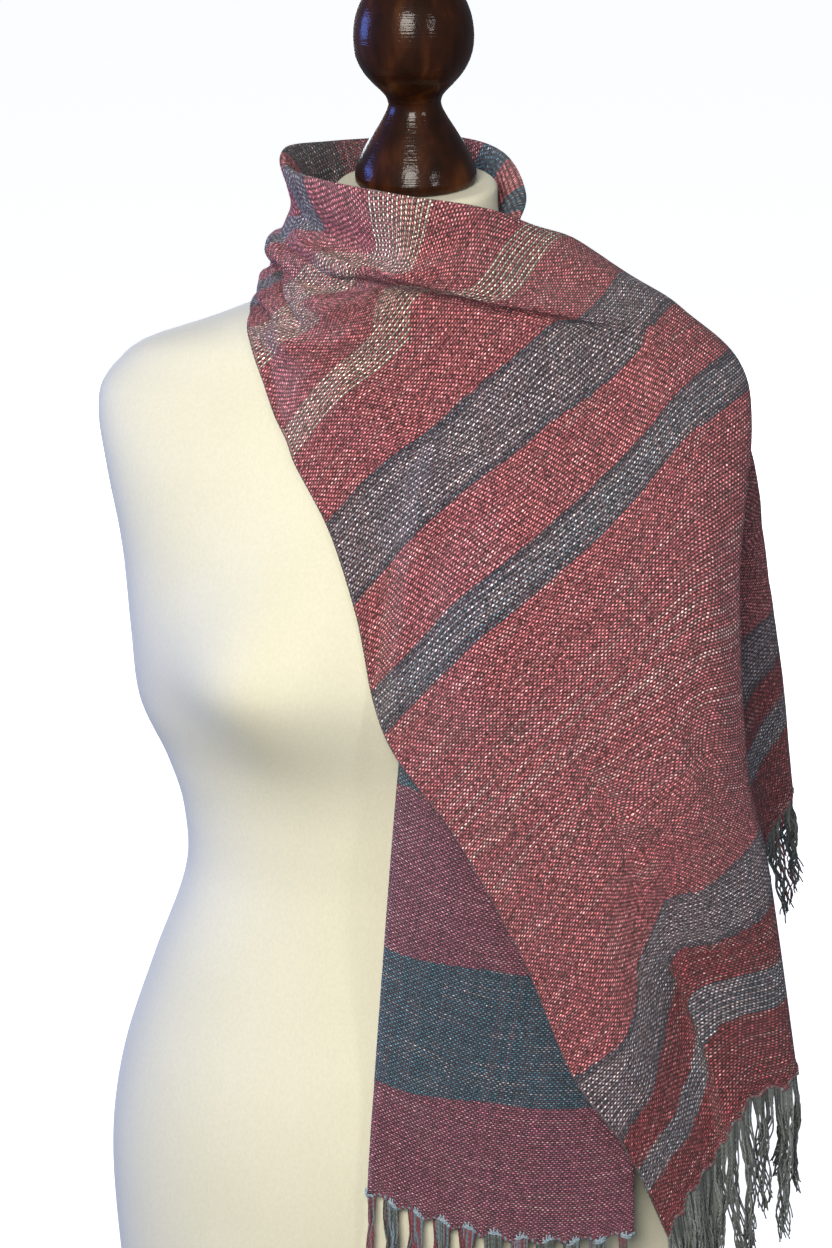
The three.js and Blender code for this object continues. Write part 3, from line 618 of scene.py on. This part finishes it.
def node(tree, kind, *values, out=0, stops=None, **settings):
    """Adds one node with its settings, feeds its inputs with values or other nodes'
    outputs, in turn or by the names and numbers of a dict, and gives back its output.
    A kind may have its operation after it."""
    kind, _, operation = kind.partition(" ")
    added = tree.nodes.new("ShaderNode" + kind)
    if operation:
        added.operation = operation
    for key, value in settings.items():
        setattr(added, key, value)
    if stops:
        ramp = added.color_ramp
        while len(ramp.elements) < len(stops):
            ramp.elements.new(1.0)
        for element, (position, colour) in zip(ramp.elements, stops):
            element.position = position
            element.color = linear(colour)
    links = {}
    for place, value in enumerate(values):
        links.update(value if isinstance(value, dict) else {place: value})
    for key, value in links.items():
        if isinstance(value, bpy.types.NodeSocket):
            tree.links.new(value, added.inputs[key])
        else:
            added.inputs[key].default_value = value
    return added.outputs[out] if added.outputs else None


def new_material(name):
    """An empty node material, and the node adder for its tree."""
    material = bpy.data.materials.new(name)
    material.use_nodes = True
    material.node_tree.nodes.clear()
    return material, partial(node, material.node_tree)


# ---- finishes ---------------------------------------------------------------

ROSE, ROSE_DEEP, BRICK, BRICK_DEEP = "#cb787f", "#bf6b72", "#a14e55", "#93464c"
# The near-black grey is painted shade, for the inside of the collar.
SLATE, GREY, MAUVE, SHADE_BLACK = "#626f7b", "#a9a6ae", "#6f6974", "#2c2a2b"
# The two mauves are the rose painted darker and bluer, as shade on the tail under the cape.
CREAM, TEAL, TEAL_DEEP, ROSE_IN_SHADE, ROSE_DEEP_IN_SHADE = "#e6dccb", "#4a7385", "#41657a", "#a9687a", "#8a5a70"
# The warp's dark colours paint both the warp and the shade in the gaps between weft threads.
WARP_SHADED_DARK, WARP_SHADED_RED, SLUB = "#2c191d", "#702f37", "#f0d2ce"

# Weft stripes from the last end's hem: where each starts in millimetres, and the
# yarns of its odd and even picks.
CAPE_STRIPES = [
    (0, BRICK, BRICK_DEEP), (30, GREY, SLATE), (48, BRICK, BRICK_DEEP), (72, SLATE, MAUVE),
    (76, GREY, MAUVE), (110, SLATE, MAUVE), (114, ROSE, ROSE_DEEP), (335, SLATE, MAUVE),
    (338, GREY, SLATE), (353, SLATE, MAUVE), (356, ROSE, ROSE_DEEP), (396, SLATE, MAUVE),
    (400, GREY, MAUVE), (432, SLATE, MAUVE), (436, ROSE, ROSE_DEEP), (483, CREAM, ROSE_DEEP),
    (503, ROSE, ROSE_DEEP), (545, CREAM, ROSE_DEEP), (581, ROSE, ROSE_DEEP), (626, SLATE, GREY),
    # From 676 to 770 mm, where the cloth wraps the left and back of the neck: a slate stripe with
    # near-black picks, then mauve and deep brick. These are a grey stripe and red cloth, painted darker as
    # the shade inside the collar.
    (651, ROSE, ROSE_DEEP), (676, SLATE, SHADE_BLACK), (736, MAUVE, BRICK_DEEP), (770, ROSE, ROSE_DEEP),
    (800, TEAL, TEAL_DEEP), (828, ROSE, ROSE_DEEP), (855, TEAL, TEAL_DEEP),
    (880, ROSE, ROSE_DEEP), (905, TEAL, TEAL_DEEP), (930, ROSE, ROSE_DEEP),
]
# The tail's mauve stripes are its rose cloth painted in the bluish shade under the cape.
TAIL_STRIPES = [
    (0, ROSE_IN_SHADE, ROSE_DEEP_IN_SHADE), (68, TEAL, TEAL_DEEP), (150, ROSE_IN_SHADE, ROSE_DEEP_IN_SHADE), (246, TEAL, TEAL_DEEP),
    (280, ROSE, ROSE_DEEP),
]


def handwoven(name, stripes, length, ends, picks, uneven, fine_picks):
    """Hand-woven cotton and silk in plain weave, matt with a little sheen. The warp and
    the weft are round threads that pass over and under each other: the height of each is
    the square of a sine across it, plus or less 0.9 of the product of both. ends and picks
    are the distances between the threads of the warp and of the weft, uneven is how much
    they differ, and fine_picks how pale the fine picks over the chest are."""
    material, add = new_material(name)
    place = add("UVMap", uv_map="weave")
    # Threads wander by up to half their width over a few centimetres.
    wander = add("TexNoise", {"Vector": place, "Scale": 45.0, "Detail": 2.0}, out=1)
    wander = add("VectorMath SUBTRACT", wander, (0.5, 0.5, 0.5))
    wander = add("VectorMath MULTIPLY", wander, (1.2, 1.2, 0.0))
    threads = add("VectorMath MULTIPLY", place, (1 / ends, 1 / picks, 0))
    threads = add("VectorMath ADD", threads, wander)
    warp_at = add("SeparateXYZ", threads)
    pick_at = add("SeparateXYZ", threads, out=1)
    pick = add("Math FLOOR", pick_at)
    end = add("Math FLOOR", warp_at)
    waves = []
    for thread in (warp_at, pick_at):
        turn = add("Math MULTIPLY", thread, math.pi)
        waves.append(add("Math SINE", turn))
    weave = add("Math MULTIPLY", waves[0], waves[1])
    tops = []
    for wave, crimp in zip(waves, (0.9, -0.9)):
        square = add("Math MULTIPLY", wave, wave)
        tops.append(add("Math MULTIPLY_ADD", weave, crimp, square))
    warp_top, weft_top = tops
    height = add("Math MAXIMUM", warp_top, weft_top)
    over = add("Math SUBTRACT", weft_top, warp_top)
    over = add("MapRange", over, -0.2, 0.2, 0.0, 1.0)
    # Stripe colour by whole picks and by the slip, so a stripe's edge steps from
    # thread to thread.
    slip = add("Attribute", attribute_name="slip", out=2)
    at = add("Math MULTIPLY_ADD", pick, picks, slip)
    at = add("Math DIVIDE", at, length)
    odd, even = (add("ValToRGB", at, stops=[(row[0] * MM / length, row[yarn]) for row in stripes])
                 for yarn in (1, 2))
    for ramp in (odd, even):
        ramp.node.color_ramp.interpolation = "CONSTANT"
    parity = add("Math MODULO", pick, 2.0)
    parity = add("Math ABSOLUTE", parity)
    weft = add("Mix", {0: parity, 6: odd, 7: even}, out=2, data_type="RGBA")
    # The warp's ends vary from dark to red at random and take a third of the weft's colour.
    # Where the warp shows, this dark tint of the weft is painted shade in the gaps between picks.
    end_tone = add("TexWhiteNoise", {"W": end}, noise_dimensions="1D")
    warp = add("ValToRGB", end_tone, stops=[(0.0, WARP_SHADED_DARK), (1.0, WARP_SHADED_RED)])
    warp = add("Mix", {0: 0.34, 6: warp, 7: weft}, out=2, data_type="RGBA")
    # Slubs: thick, paler stretches of a pick, 20 to 60 mm long, and short pale flecks.
    streak = add("VectorMath MULTIPLY", place, (26.0, 420.0, 0.0))
    streak = add("TexNoise", {"Vector": streak, "Scale": 1.0, "Detail": 4.0})
    slub = add("MapRange", streak, 0.53, 0.70, 0.0, 0.5 * uneven)
    fleck = add("TexNoise", {"Vector": place, "Scale": 420.0, "Detail": 1.0})
    fleck = add("MapRange", fleck, 0.67, 0.74, 0.0, 0.75 * uneven)
    pale = add("Math MAXIMUM", slub, fleck)
    # Fine pale picks, three in ten, between 180 and 320 mm from the hem.
    fine = add("Math", pick, 0.5)
    fine = add("TexWhiteNoise", {"W": fine}, noise_dimensions="1D")
    fine = add("Math GREATER_THAN", fine, 0.72)
    zone = add("Math SUBTRACT", at, 0.25 / length)
    zone = add("Math ABSOLUTE", zone)
    zone = add("MapRange", zone, 0.03 / length, 0.07 / length, fine_picks, 0.0)
    run = add("MapRange", streak, 0.42, 0.6, 0.15, 1.0)
    zone = add("Math MULTIPLY", zone, run)
    fine = add("Math MULTIPLY", fine, zone)
    pale = add("Math MAXIMUM", pale, fine)
    weft = add("Mix", {0: pale, 6: weft, 7: linear(SLUB)}, out=2, data_type="RGBA")
    # Each pick, each crossing and each patch of about 2.5 mm has its own tone. The weft is also
    # painted lighter on its crowns and darker on its flanks: a painted highlight.
    pick_dye = add("TexWhiteNoise", {"W": pick}, noise_dimensions="1D")
    pick_tone = add("MapRange", {0: pick_dye, 3: 0.88, 4: 1.12})
    crossing = add("VectorMath FLOOR", threads)
    crossing = add("TexWhiteNoise", {"Vector": crossing}, noise_dimensions="2D")
    crossing = add("MapRange", {0: crossing, 3: 1 - 0.45 * uneven, 4: 1 + 0.45 * uneven})
    patch = add("TexNoise", {"Vector": place, "Scale": 380.0, "Detail": 3.0})
    patch = add("MapRange", patch, 0.35, 0.65, 1 - 0.38 * uneven, 1 + 0.38 * uneven)
    # Painted highlight: the weft's colour grows with its height, lightest on the top of each float.
    crown = add("MapRange", weft_top, 0.5, 1.8, 0.5, 2.1)
    tone_and_highlight = pick_tone
    for part in (crossing, patch, crown):
        tone_and_highlight = add("Math MULTIPLY", tone_and_highlight, part)
    weft = add("VectorMath SCALE", {0: weft, 3: tone_and_highlight})
    colour = add("Mix", {0: over, 6: warp, 7: weft}, out=2, data_type="RGBA")
    # Painted shade: the colour darkens where the threads lie low, in the gaps between them.
    gap_shade = add("MapRange", height, 0.2, 1.0, 0.25, 1.0)
    # The yarn is hairy and spun unevenly: tufts and pits about 1.5 mm apart. They scale the
    # colour together with the painted shade in the gaps between the threads.
    tuft_and_gap_shade = add("TexNoise", {"Vector": add("TexCoord", out=3), "Scale": 640.0, "Detail": 1.0})
    tuft_and_gap_shade = add("MapRange", tuft_and_gap_shade, 0.36, 0.64, 1 - 0.55 * uneven, 1 + 0.55 * uneven)
    tuft_and_gap_shade = add("Math MULTIPLY", tuft_and_gap_shade, gap_shade)
    colour = add("VectorMath SCALE", {0: colour, 3: tuft_and_gap_shade})
    bump = add("Bump", {"Height": height, "Strength": 0.9, "Distance": 0.0006})
    shader = add("BsdfPrincipled", {
        "Base Color": colour, "Roughness": 0.82, "Normal": bump, "Specular IOR Level": 0.3,
        "Sheen Weight": 0.15, "Sheen Roughness": 0.45, "IOR": 1.5,
    })
    add("OutputMaterial", shader)
    return material


def fringe_yarn(name):
    """Loose twisted cotton warp ends, matt and fuzzy: each lock has its own tone."""
    material, add = new_material(name)
    lock = add("Attribute", attribute_name="lock", out=2)
    colour = add("ValToRGB", lock, stops=[
        (0.0, "#363a38"), (0.2, "#565c5a"), (0.4, "#747a78"), (0.5, "#868b8a"), (0.6, "#5c7486"),
        (0.75, "#a3b7c6"), (0.78, "#6b3540"), (1.0, "#8e4a55")])
    place = add("UVMap", uv_map="weave")
    # The ply runs round the yarn once in about 3 mm.
    twist = add("VectorMath MULTIPLY", place, (1.0, 330.0, 0.0))
    ply = add("VectorMath DOT_PRODUCT", twist, (1.0, 1.0, 0.0), out=1)
    ply = add("Math MULTIPLY", ply, 2 * math.pi)
    ply = add("Math SINE", ply)
    shade = add("MapRange", ply, -1.0, 1.0, 0.7, 1.1)
    colour = add("VectorMath SCALE", {0: colour, 3: shade})
    bump = add("Bump", {"Height": ply, "Strength": 0.6, "Distance": 0.0003})
    shader = add("BsdfPrincipled", {
        "Base Color": colour, "Roughness": 0.9, "Normal": bump, "Specular IOR Level": 0.2,
        "Sheen Weight": 0.25, "IOR": 1.5})
    add("OutputMaterial", shader)
    return material


def stretched_jersey(name):
    """Cream cotton and elastane jersey, stretched smooth over the form: matt, with a
    faint knit that runs down in wales."""
    material, add = new_material(name)
    place = add("TexCoord", out=3)
    # Wales lie about 0.9 mm apart; they are drawn at 1.5 mm so that they show.
    knit = add("VectorMath MULTIPLY", place, (4200.0, 4200.0, 2600.0))
    knit = add("TexNoise", {"Vector": knit, "Scale": 0.16, "Detail": 1.0})
    broad = add("TexNoise", {"Vector": place, "Scale": 9.0, "Detail": 2.0})
    colour = add("ValToRGB", broad, stops=[(0.3, "#dcd9c2"), (0.7, "#e2dfca")])
    grain = add("MapRange", knit, 0.3, 0.7, 0.965, 1.02)
    colour = add("VectorMath SCALE", {0: colour, 3: grain})
    bump = add("Bump", {"Height": knit, "Strength": 0.25, "Distance": 0.0003})
    shader = add("BsdfPrincipled", {
        "Base Color": colour, "Roughness": 0.82, "Normal": bump, "Specular IOR Level": 0.25,
        "Sheen Weight": 0.12, "IOR": 1.5})
    add("OutputMaterial", shader)
    return material


def varnished_mahogany(name):
    """Turned beech stained a dark mahogany under gloss varnish: fine rings from turning,
    long grain down the knob, and a clear coat that mirrors the lights."""
    material, add = new_material(name)
    place = add("TexCoord", out=3)
    stretch = add("VectorMath MULTIPLY", place, (90.0, 90.0, 26.0))
    grain = add("TexNoise", {"Vector": stretch, "Scale": 1.0, "Detail": 3.0, "Distortion": 0.3})
    colour = add("ValToRGB", grain, stops=[
        (0.3, "#1f0e05"), (0.5, "#2d1508"), (0.6, "#3a1d0b"), (0.75, "#4e2a10")])
    # Turning marks: rings about 1 mm apart.
    rings = add("VectorMath MULTIPLY", place, (3.0, 3.0, 900.0))
    rings = add("TexNoise", {"Vector": rings, "Scale": 1.0, "Detail": 2.0})
    # The varnish has sunk a little into the pores, about 2 mm apart.
    pores = add("TexNoise", {"Vector": place, "Scale": 520.0, "Detail": 2.0})
    relief = add("Math MULTIPLY_ADD", pores, 0.9, rings)
    bump = add("Bump", {"Height": relief, "Strength": 0.5, "Distance": 0.0003})
    shader = add("BsdfPrincipled", {
        "Base Color": colour, "Roughness": 0.5, "Normal": bump, "Specular IOR Level": 0.06,
        "IOR": 1.5, "Coat Normal": bump, "Coat Weight": 0.35, "Coat Roughness": 0.12})
    add("OutputMaterial", shader)
    return material


def plain_floor(name):
    """Matt white studio paper, lit through from behind so that it stays pale."""
    material, add = new_material(name)
    shader = add("BsdfPrincipled", {
        "Base Color": linear("#eeeeee"), "Roughness": 0.95,
        "Emission Color": linear("#ffffff"), "Emission Strength": 0.82})
    add("OutputMaterial", shader)
    return material


# ---- camera, light and floor ------------------------------------------------


def aim(thing, place, target):
    """Puts a camera or lamp at a place and points it at a target."""
    thing.location = place
    thing.rotation_euler = (Vector(target) - Vector(place)).to_track_quat("-Z", "Y").to_euler()
    bpy.context.collection.objects.link(thing)
    return thing


def studio():
    """The camera 14 degrees above the form and 8 degrees round from its front, four soft
    lamps: a large one in front and above, a small one at the front right, a blue one at
    the left and a large one behind, and a plain pale floor."""
    turn, rise, far = math.radians(8), math.radians(14), 2.6
    target = (0, 0, 0.464)
    place = (far * math.sin(turn) * math.cos(rise), -far * math.cos(turn) * math.cos(rise),
             target[2] + far * math.sin(rise))
    camera = bpy.data.cameras.new("camera")
    camera.sensor_width = 36
    camera.lens = 129.3
    bpy.context.scene.camera = aim(bpy.data.objects.new("camera", camera), place, target)
    for name, spot, size, power, colour in (
        ("key", (-0.15, -2.7, 1.6), 1.1, 90, "#fff9ee"),
        ("fill", (1.9, -2.0, 1.4), 0.4, 10, "#ffffff"),
        ("window", (-2.4, 0.3, 0.9), 0.9, 34, "#6690ff"),
        ("back", (-0.9, 2.9, 1.1), 1.8, 62, "#f4f6ff"),
    ):
        lamp = bpy.data.lights.new(name, "AREA")
        lamp.shape = "SQUARE"
        lamp.size = size
        lamp.energy = power
        lamp.color = linear(colour)[:3]
        aim(bpy.data.objects.new(name, lamp), spot, (0, 0, 0.5))
    bpy.context.scene.view_settings.view_transform = "Standard"
    world = bpy.data.worlds.new("studio")
    bpy.context.scene.world = world
    world.use_nodes = True
    sky = world.node_tree.nodes["Background"].inputs
    sky[0].default_value = linear("#e4eeff")
    sky[1].default_value = 0.2
    corners = 80000.0 * np.array([(-1, -1, 0), (1, -1, 0), (1, 1, 0), (-1, 1, 0)])
    floor = make_piece("floor", corners, np.array([[0, 1, 2, 3]]), plain_floor("white_paper"))
    # The glow of the floor would flood the form, so only the camera sees it.
    floor.visible_diffuse = False
    floor.visible_glossy = False


# ---- the dress form ---------------------------------------------------------


def dress_form(material):
    """Rings of the form's section from its flat base to its neck: both ends are turned
    over a small quarter circle and closed by a flat face."""
    base_edge, top_edge = 5.0, 4.0
    straight, sides = 190, 160
    quarter = np.linspace(0, np.pi / 2, 6)
    levels = np.concatenate([base_edge * (1 - np.cos(quarter)),
                             np.linspace(base_edge, NECK_TOP - top_edge, straight)[1:-1],
                             NECK_TOP - top_edge + top_edge * np.sin(quarter)])
    inset = np.concatenate([base_edge * (1 - np.sin(quarter)), np.zeros(straight - 2),
                            top_edge * (1 - np.cos(quarter))])
    theta = 2 * np.pi * np.arange(sides) / sides
    z, angle = np.meshgrid(levels, theta, indexing="ij")
    radius = form_radius(angle, z) - inset[:, None]
    shrink = np.array([0.85, 0.6, 0.3])[:, None]
    low, high = radius[:1] * shrink[::-1], radius[-1:] * shrink
    radius = np.concatenate([low, radius, high])
    z = np.concatenate([np.repeat(z[:1], 3, 0), z, np.repeat(z[-1:], 3, 0)])
    angle = np.concatenate([angle[:3], angle, angle[:3]])
    x, y = radius * np.cos(angle), radius * np.sin(angle)
    lean = math.tan(NECK_TILT) * y * smooth((z - NECK_ROOT) / (NECK_TOP - NECK_ROOT))
    grid = np.stack([x, y, z + lean], -1)
    rings = len(grid)
    wall = ring_wall(rings, sides).tolist()
    ends = [list(range(sides - 1, -1, -1)), [(rings - 1) * sides + k for k in range(sides)]]
    return make_piece("torso_jersey", grid.reshape(-1, 3), wall + ends, material)


# The knob's outline from its foot to the widest place of its ball: height and radius.
KNOB_OUTLINE = np.array([
    (6, 34.5), (14, 31.8), (28.6, 23.8), (38, 18.2), (45, 15.2), (50, 16.0), (54, 19.0),
    (59, 23.8), (65, 28.6), (72, 32.2), (78, 33.8), (84.5, 34.3),
])


def neck_knob(material):
    """Turned knob: a flared foot that sweeps in to a waist, and an egg-shaped ball on it,
    whose top is half an ellipse. The outline is spun round the leaning axis of the neck."""
    foot, rim, gap = 34.5, 3.0, 0.3
    tall, ball_z = 40.5, KNOB_OUTLINE[-1, 0]
    edge = np.linspace(0, np.pi / 2, 5)
    height = np.concatenate([[0, 0], rim * (1 - np.cos(edge)), np.linspace(2 * rim, ball_z, 64)[:-1],
                             ball_z + tall * np.sin(np.linspace(0, np.pi / 2, 30))[:-1]])
    radius = read_rows(KNOB_OUTLINE[:, 0], KNOB_OUTLINE[:, 1], height)
    radius = radius * np.sqrt(1 - (np.maximum(height - ball_z, 0) / tall) ** 2)
    radius[:2 + len(edge)] = np.concatenate([[4, 20], foot - rim + rim * np.sin(edge)])
    sides = 96
    turn = 2 * np.pi * np.arange(sides) / sides
    x = radius[:, None] * np.cos(turn)
    y = radius[:, None] * np.sin(turn)
    z = np.repeat(height[:, None], sides, 1) + gap
    sine, cosine, top = math.sin(NECK_TILT), math.cos(NECK_TILT), ball_z + tall + gap
    grid = np.stack([x, y * cosine - z * sine, y * sine + z * cosine + NECK_TOP], -1)
    rings = len(radius)
    tip = np.array([[0, -top * sine, top * cosine + NECK_TOP]])
    wall = ring_wall(rings, sides).tolist()
    last = (rings - 1) * sides
    crown = [[last + k, last + (k + 1) % sides, rings * sides] for k in range(sides)]
    base = [list(range(sides - 1, -1, -1))]
    points = np.concatenate([grid.reshape(-1, 3), tip])
    return make_piece("neck_knob", points, wall + crown + base, material)


# ---- scarf pieces -----------------------------------------------------------

# A yarn's radius at both ends, and the sides and rings that it is drawn with.
YARN = {"root": 0.62, "tip": 0.42, "sides": 5, "rings": 22}
# How far a clump sways at its tips and waves on the way, how far a yarn curls across and
# forward and stands off its clump, and how far its loose tip strays.
LOOSE = {"sway": 15, "wave": 1.4, "curl": (1.5, 1.8), "stand": 2.4, "stray": 4.5}


def scatter(index, use):
    """A repeatable spread of values from 0 to 1."""
    value = np.sin(index * 12.9898 + use * 78.233) * 43758.5453
    return value - np.floor(value)


def fringe(name, hem, above, span, material, first, length, spread, yarns, gather, shades, lean=0.0):
    """Warp ends below a hem, in clumps at the points between its arcs. Each yarn leaves
    the hem along the cloth, draws in towards its clump's middle line by the gather,
    turns down under its own weight and waves by a sine of its own, and the clump sways
    as one. above is the row of the cloth over the hem, span the stretch of the hem,
    first the number of the first clump, spread the width of a clump at the hem, and lean
    how far forward the tips rest on what is behind them. shades gives the yarns' colours:
    each row is a share of them and its span on the ramp of yarn colours."""
    run = arc_length(hem, 0)
    low, high = run[span][[0, -1]]
    pitch = SCALLOP["pitch"]
    middles = np.arange(np.ceil(low / pitch), np.floor(high / pitch) + 1) * pitch
    one = np.arange(len(middles) * yarns)
    group = one // yarns
    index = one + first * yarns
    place_in = (one % yarns + 0.5 + 0.5 * (scatter(index, 6) - 0.5)) / yarns - 0.5
    middle_at = middles[group]
    at = np.clip(middle_at + place_in * spread, low, high)
    root, middle = read_line(hem, run, at), read_line(hem, run, middle_at)
    leave = read_line(unit(hem - above), run, at)
    clump_no = group + first
    # A clump is up to 28 % shorter than the length, and a yarn up to 14 % shorter again.
    long = length * (0.72 + 0.28 * scatter(clump_no, 3)) * (0.86 + 0.14 * scatter(index, 4))
    t = np.linspace(0, 1, YARN["rings"])
    out = 1 - (1 - t) ** 2
    root = root - leave
    path = root[:, None] + leave[:, None] * (long[:, None] * 0.14 * out)[..., None]
    path[..., 2] -= long[:, None] * (t - 0.07 * out)
    draw = gather * smooth(t / 0.4)
    path[..., :2] += ((middle - root)[:, None] * draw[None, :, None])[..., :2]
    sway = np.stack([scatter(clump_no, 1) - 0.5, scatter(clump_no, 2) - 0.5], -1) * LOOSE["sway"]
    path[..., :2] += sway[:, None] * (t ** 2)[None, :, None]
    path[..., 1] -= lean * smooth(t)
    loose = smooth(t * 2.5)[None]
    slow = np.sin(t[None] * 7 + scatter(clump_no, 7)[:, None] * 6.3) * LOOSE["wave"]
    turn = scatter(index, 8)[:, None] * 6.3
    quick = t[None] * (12 + 10 * scatter(index, 9)[:, None]) + turn
    stand = LOOSE["stand"] * (scatter(index, 10)[:, None] - 0.5)
    across, forward = LOOSE["curl"]
    path[..., 0] += (slow + across * np.sin(quick)) * loose
    path[..., 1] += (forward * np.cos(quick + 1.3) + stand) * loose
    tip = np.clip(t - 0.86, 0, 1)[None] / 0.14
    path[..., 0] += LOOSE["stray"] * (scatter(index, 11)[:, None] - 0.5) * tip ** 2
    radius = np.broadcast_to(YARN["root"] + (YARN["tip"] - YARN["root"]) * t, path.shape[:2])
    points, faces, place = tubes(path, radius, YARN["sides"])
    pick = np.mod(scatter(clump_no, 12) + 0.45 * scatter(index, 14), 1)
    lock = np.zeros(len(index))
    start = 0.0
    for share, low, high in shades:
        lock = np.where(pick >= start, low + (high - low) * scatter(index, 13), lock)
        start += share
    lock = np.repeat(lock, len(points) // len(index))
    return make_piece(name, points, faces, material, place, {"lock": lock})


def edge_cord(name, line, material, radius, colours, stitch):
    """Two yarns sewn over an edge: tubes that wind round the edge's line by a circle,
    thick and thin by the size of a sine for each stitch. colours are the yarn shades
    at a stitch and between two."""
    run = arc_length(line, 0)
    ring_step, sides = 0.9, YARN["sides"]
    at = np.linspace(0, run[-1], int(run[-1] / ring_step))
    path = read_line(line, run, at)
    tangent = unit(np.gradient(path, axis=0))
    side = unit(np.cross(tangent, np.array([0.0, -1.0, 0.15])))
    other = np.cross(tangent, side)
    wind = (at / stitch * 2 * np.pi)[:, None]
    paths = np.stack([path + (side * np.cos(wind + half) + other * np.sin(wind + half)) * radius
                      for half in (0.0, np.pi)])
    thick = radius * (0.75 + 0.4 * np.abs(np.sin(wind[:, 0] / 2)))
    points, faces, place = tubes(paths, np.broadcast_to(thick, paths.shape[:2]), sides)
    at_point = np.abs(np.cos(np.pi * at / SCALLOP["pitch"])) > 0.72
    lock = np.where(at_point[None], colours[0], np.array(colours[1:])[:, None])
    lock = np.concatenate([np.repeat(lock, sides, 1), lock[:, [0, -1]]], 1).ravel()
    return make_piece(name, points, faces, material, place, {"lock": lock})


def star_stitches(name, grid, material, shade):
    """Five short stitches that fan up from each point of the hem, on the outer face:
    tubes from the point that bow out a little, 36 degrees apart, and two thirds as long
    at the sides."""
    run = arc_length(grid[0], 0)
    points_at = np.arange(1, int(run[-1] / SCALLOP["pitch"]) + 1) * SCALLOP["pitch"]
    up = grid[4] - grid[0]
    way = np.gradient(grid[0], axis=0)
    out = np.cross(way, up)
    place = read_line(grid[0], run, points_at)
    up, way, out = (unit(read_line(line, run, points_at)) for line in (up, way, out))
    fan = np.radians(np.arange(-72, 73, 36))
    t = np.linspace(0, 1, 5)
    stitch = 4.6
    long = stitch * (0.55 + 0.45 * np.cos(fan))
    ray = up[:, None] * np.cos(fan)[:, None] + way[:, None] * np.sin(fan)[:, None]
    bow = out[:, None, None] * (0.9 + 0.5 * np.sin(np.pi * t))[:, None]
    path = (place - up)[:, None, None] + ray[:, :, None] * (long[:, None] * t)[..., None] + bow
    path = path.reshape(-1, len(t), 3)
    points, faces, uv = tubes(path, np.full(path.shape[:2], YARN["tip"]), YARN["sides"])
    return make_piece(name, points, faces, material, uv, {"lock": np.full(len(points), shade)})


def build():
    """Makes every piece, hides the parts of the model that each replaces, and hangs them all on the root
    body.
    """
    # The real threads lie about 1 mm apart; they are drawn at 1.3 to 1.5 mm, because
    # finer ones make false waves in the render.
    cloth = handwoven("handwoven_rose_cloth", CAPE_STRIPES, SCARF_END * MM, 0.0015, 0.00138, 1.0, 0.7)
    tail_cloth = handwoven("handwoven_tail_cloth", TAIL_STRIPES, 0.6, 0.0014, 0.0013, 0.6, 0.0)
    yarn = fringe_yarn("twisted_warp_ends")
    jersey = stretched_jersey("stretched_cream_jersey")
    wood = varnished_mahogany("varnished_mahogany")

    torso = dress_form(jersey)
    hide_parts("form_torso")
    knob = neck_knob(wood)
    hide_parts("form_knob")

    along = steps(0.5, SCARF_END - 0.5, 4.2)
    # Across, the grid is finer from 176 to 250 mm, where the lip is.
    across = np.concatenate([steps(0, 176, 3.8)[:-2], np.arange(176, 250, 1.6), steps(250, LINES[-1], 3.8)])
    grid = scarf_grid(along, across)
    place = weave_place(along, grid)
    grid = scalloped(grid)
    points, faces, uv = cloth_wall(grid, place)
    slip = np.tile(thread_slip(along, across).ravel() * MM, 2)
    drape = make_piece("scarf_cloth", points, faces, cloth, uv, {"slip": slip})
    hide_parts("scarf_end", "scarf_drape", "scarf_cowl", "scarf_neck")

    low = tail_grid(118, 70)
    place = np.stack([arc_length(low, 1), arc_length(low, 0)], -1)
    low = scalloped(low)
    points, faces, uv = cloth_wall(low, place)
    share = (low[..., 0] - low[..., 0].min()) / np.ptp(low[..., 0])
    slip = np.tile((2 - 14 * smooth(share / 0.5)).ravel() * MM, 2)
    tail = make_piece("scarf_tail_cloth", points, faces, tail_cloth, uv, {"slip": slip})
    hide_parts("scarf_tail")

    # Yarn shades: a share of the yarns, and its span on the ramp of yarn colours.
    grey = ((0.55, 0.0, 0.4), (0.4, 0.3, 0.5), (0.05, 0.8, 0.9))
    mixed = ((0.55, 0.05, 0.45), (0.18, 0.52, 0.66), (0.27, 0.8, 1.0))
    locks = []
    for name, node_name, pick, first, length in (
        ("fringe_of_front", "fringe_front", across < 292, 0, 96),
        ("fringe_of_side", "fringe_side", (across >= 292) & (across < 420), 40, 64),
        ("fringe_of_back", "fringe_back", across >= 420, 70, 64),
    ):
        piece = fringe(name, grid[0], grid[2], pick, yarn, first, length, 17, 18, 0.38, grey)
        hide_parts(node_name)
        locks.append(piece)
    tail_fringe = fringe("fringe_of_tail", low[0], low[2], slice(2, -2), yarn, 100, 96, 9, 13, 0.55,
                         mixed, lean=4.0)
    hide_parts("fringe_tail")
    end_cord = edge_cord("last_end_stitching", grid[0], yarn, 0.8, (0.5, 0.95, 0.3), 3.2)
    selvedge = edge_cord("selvedge_cord", grid[:, 0], yarn, 0.4, (0.15, 0.85, 0.1), 2.6)
    tail_cord = edge_cord("first_end_stitching", low[0], yarn, 0.85, (0.74, 0.95, 0.66), 3.4)
    tail_stars = star_stitches("first_end_stars", low, yarn, 0.75)
    end_stars = star_stitches("last_end_stars", grid, yarn, 0.9)
    threads = (*locks, tail_fringe, end_cord, selvedge, tail_cord, tail_stars, end_stars)
    for piece in (torso, knob, drape, tail, *threads):
        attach(piece, "root")


build()
studio()
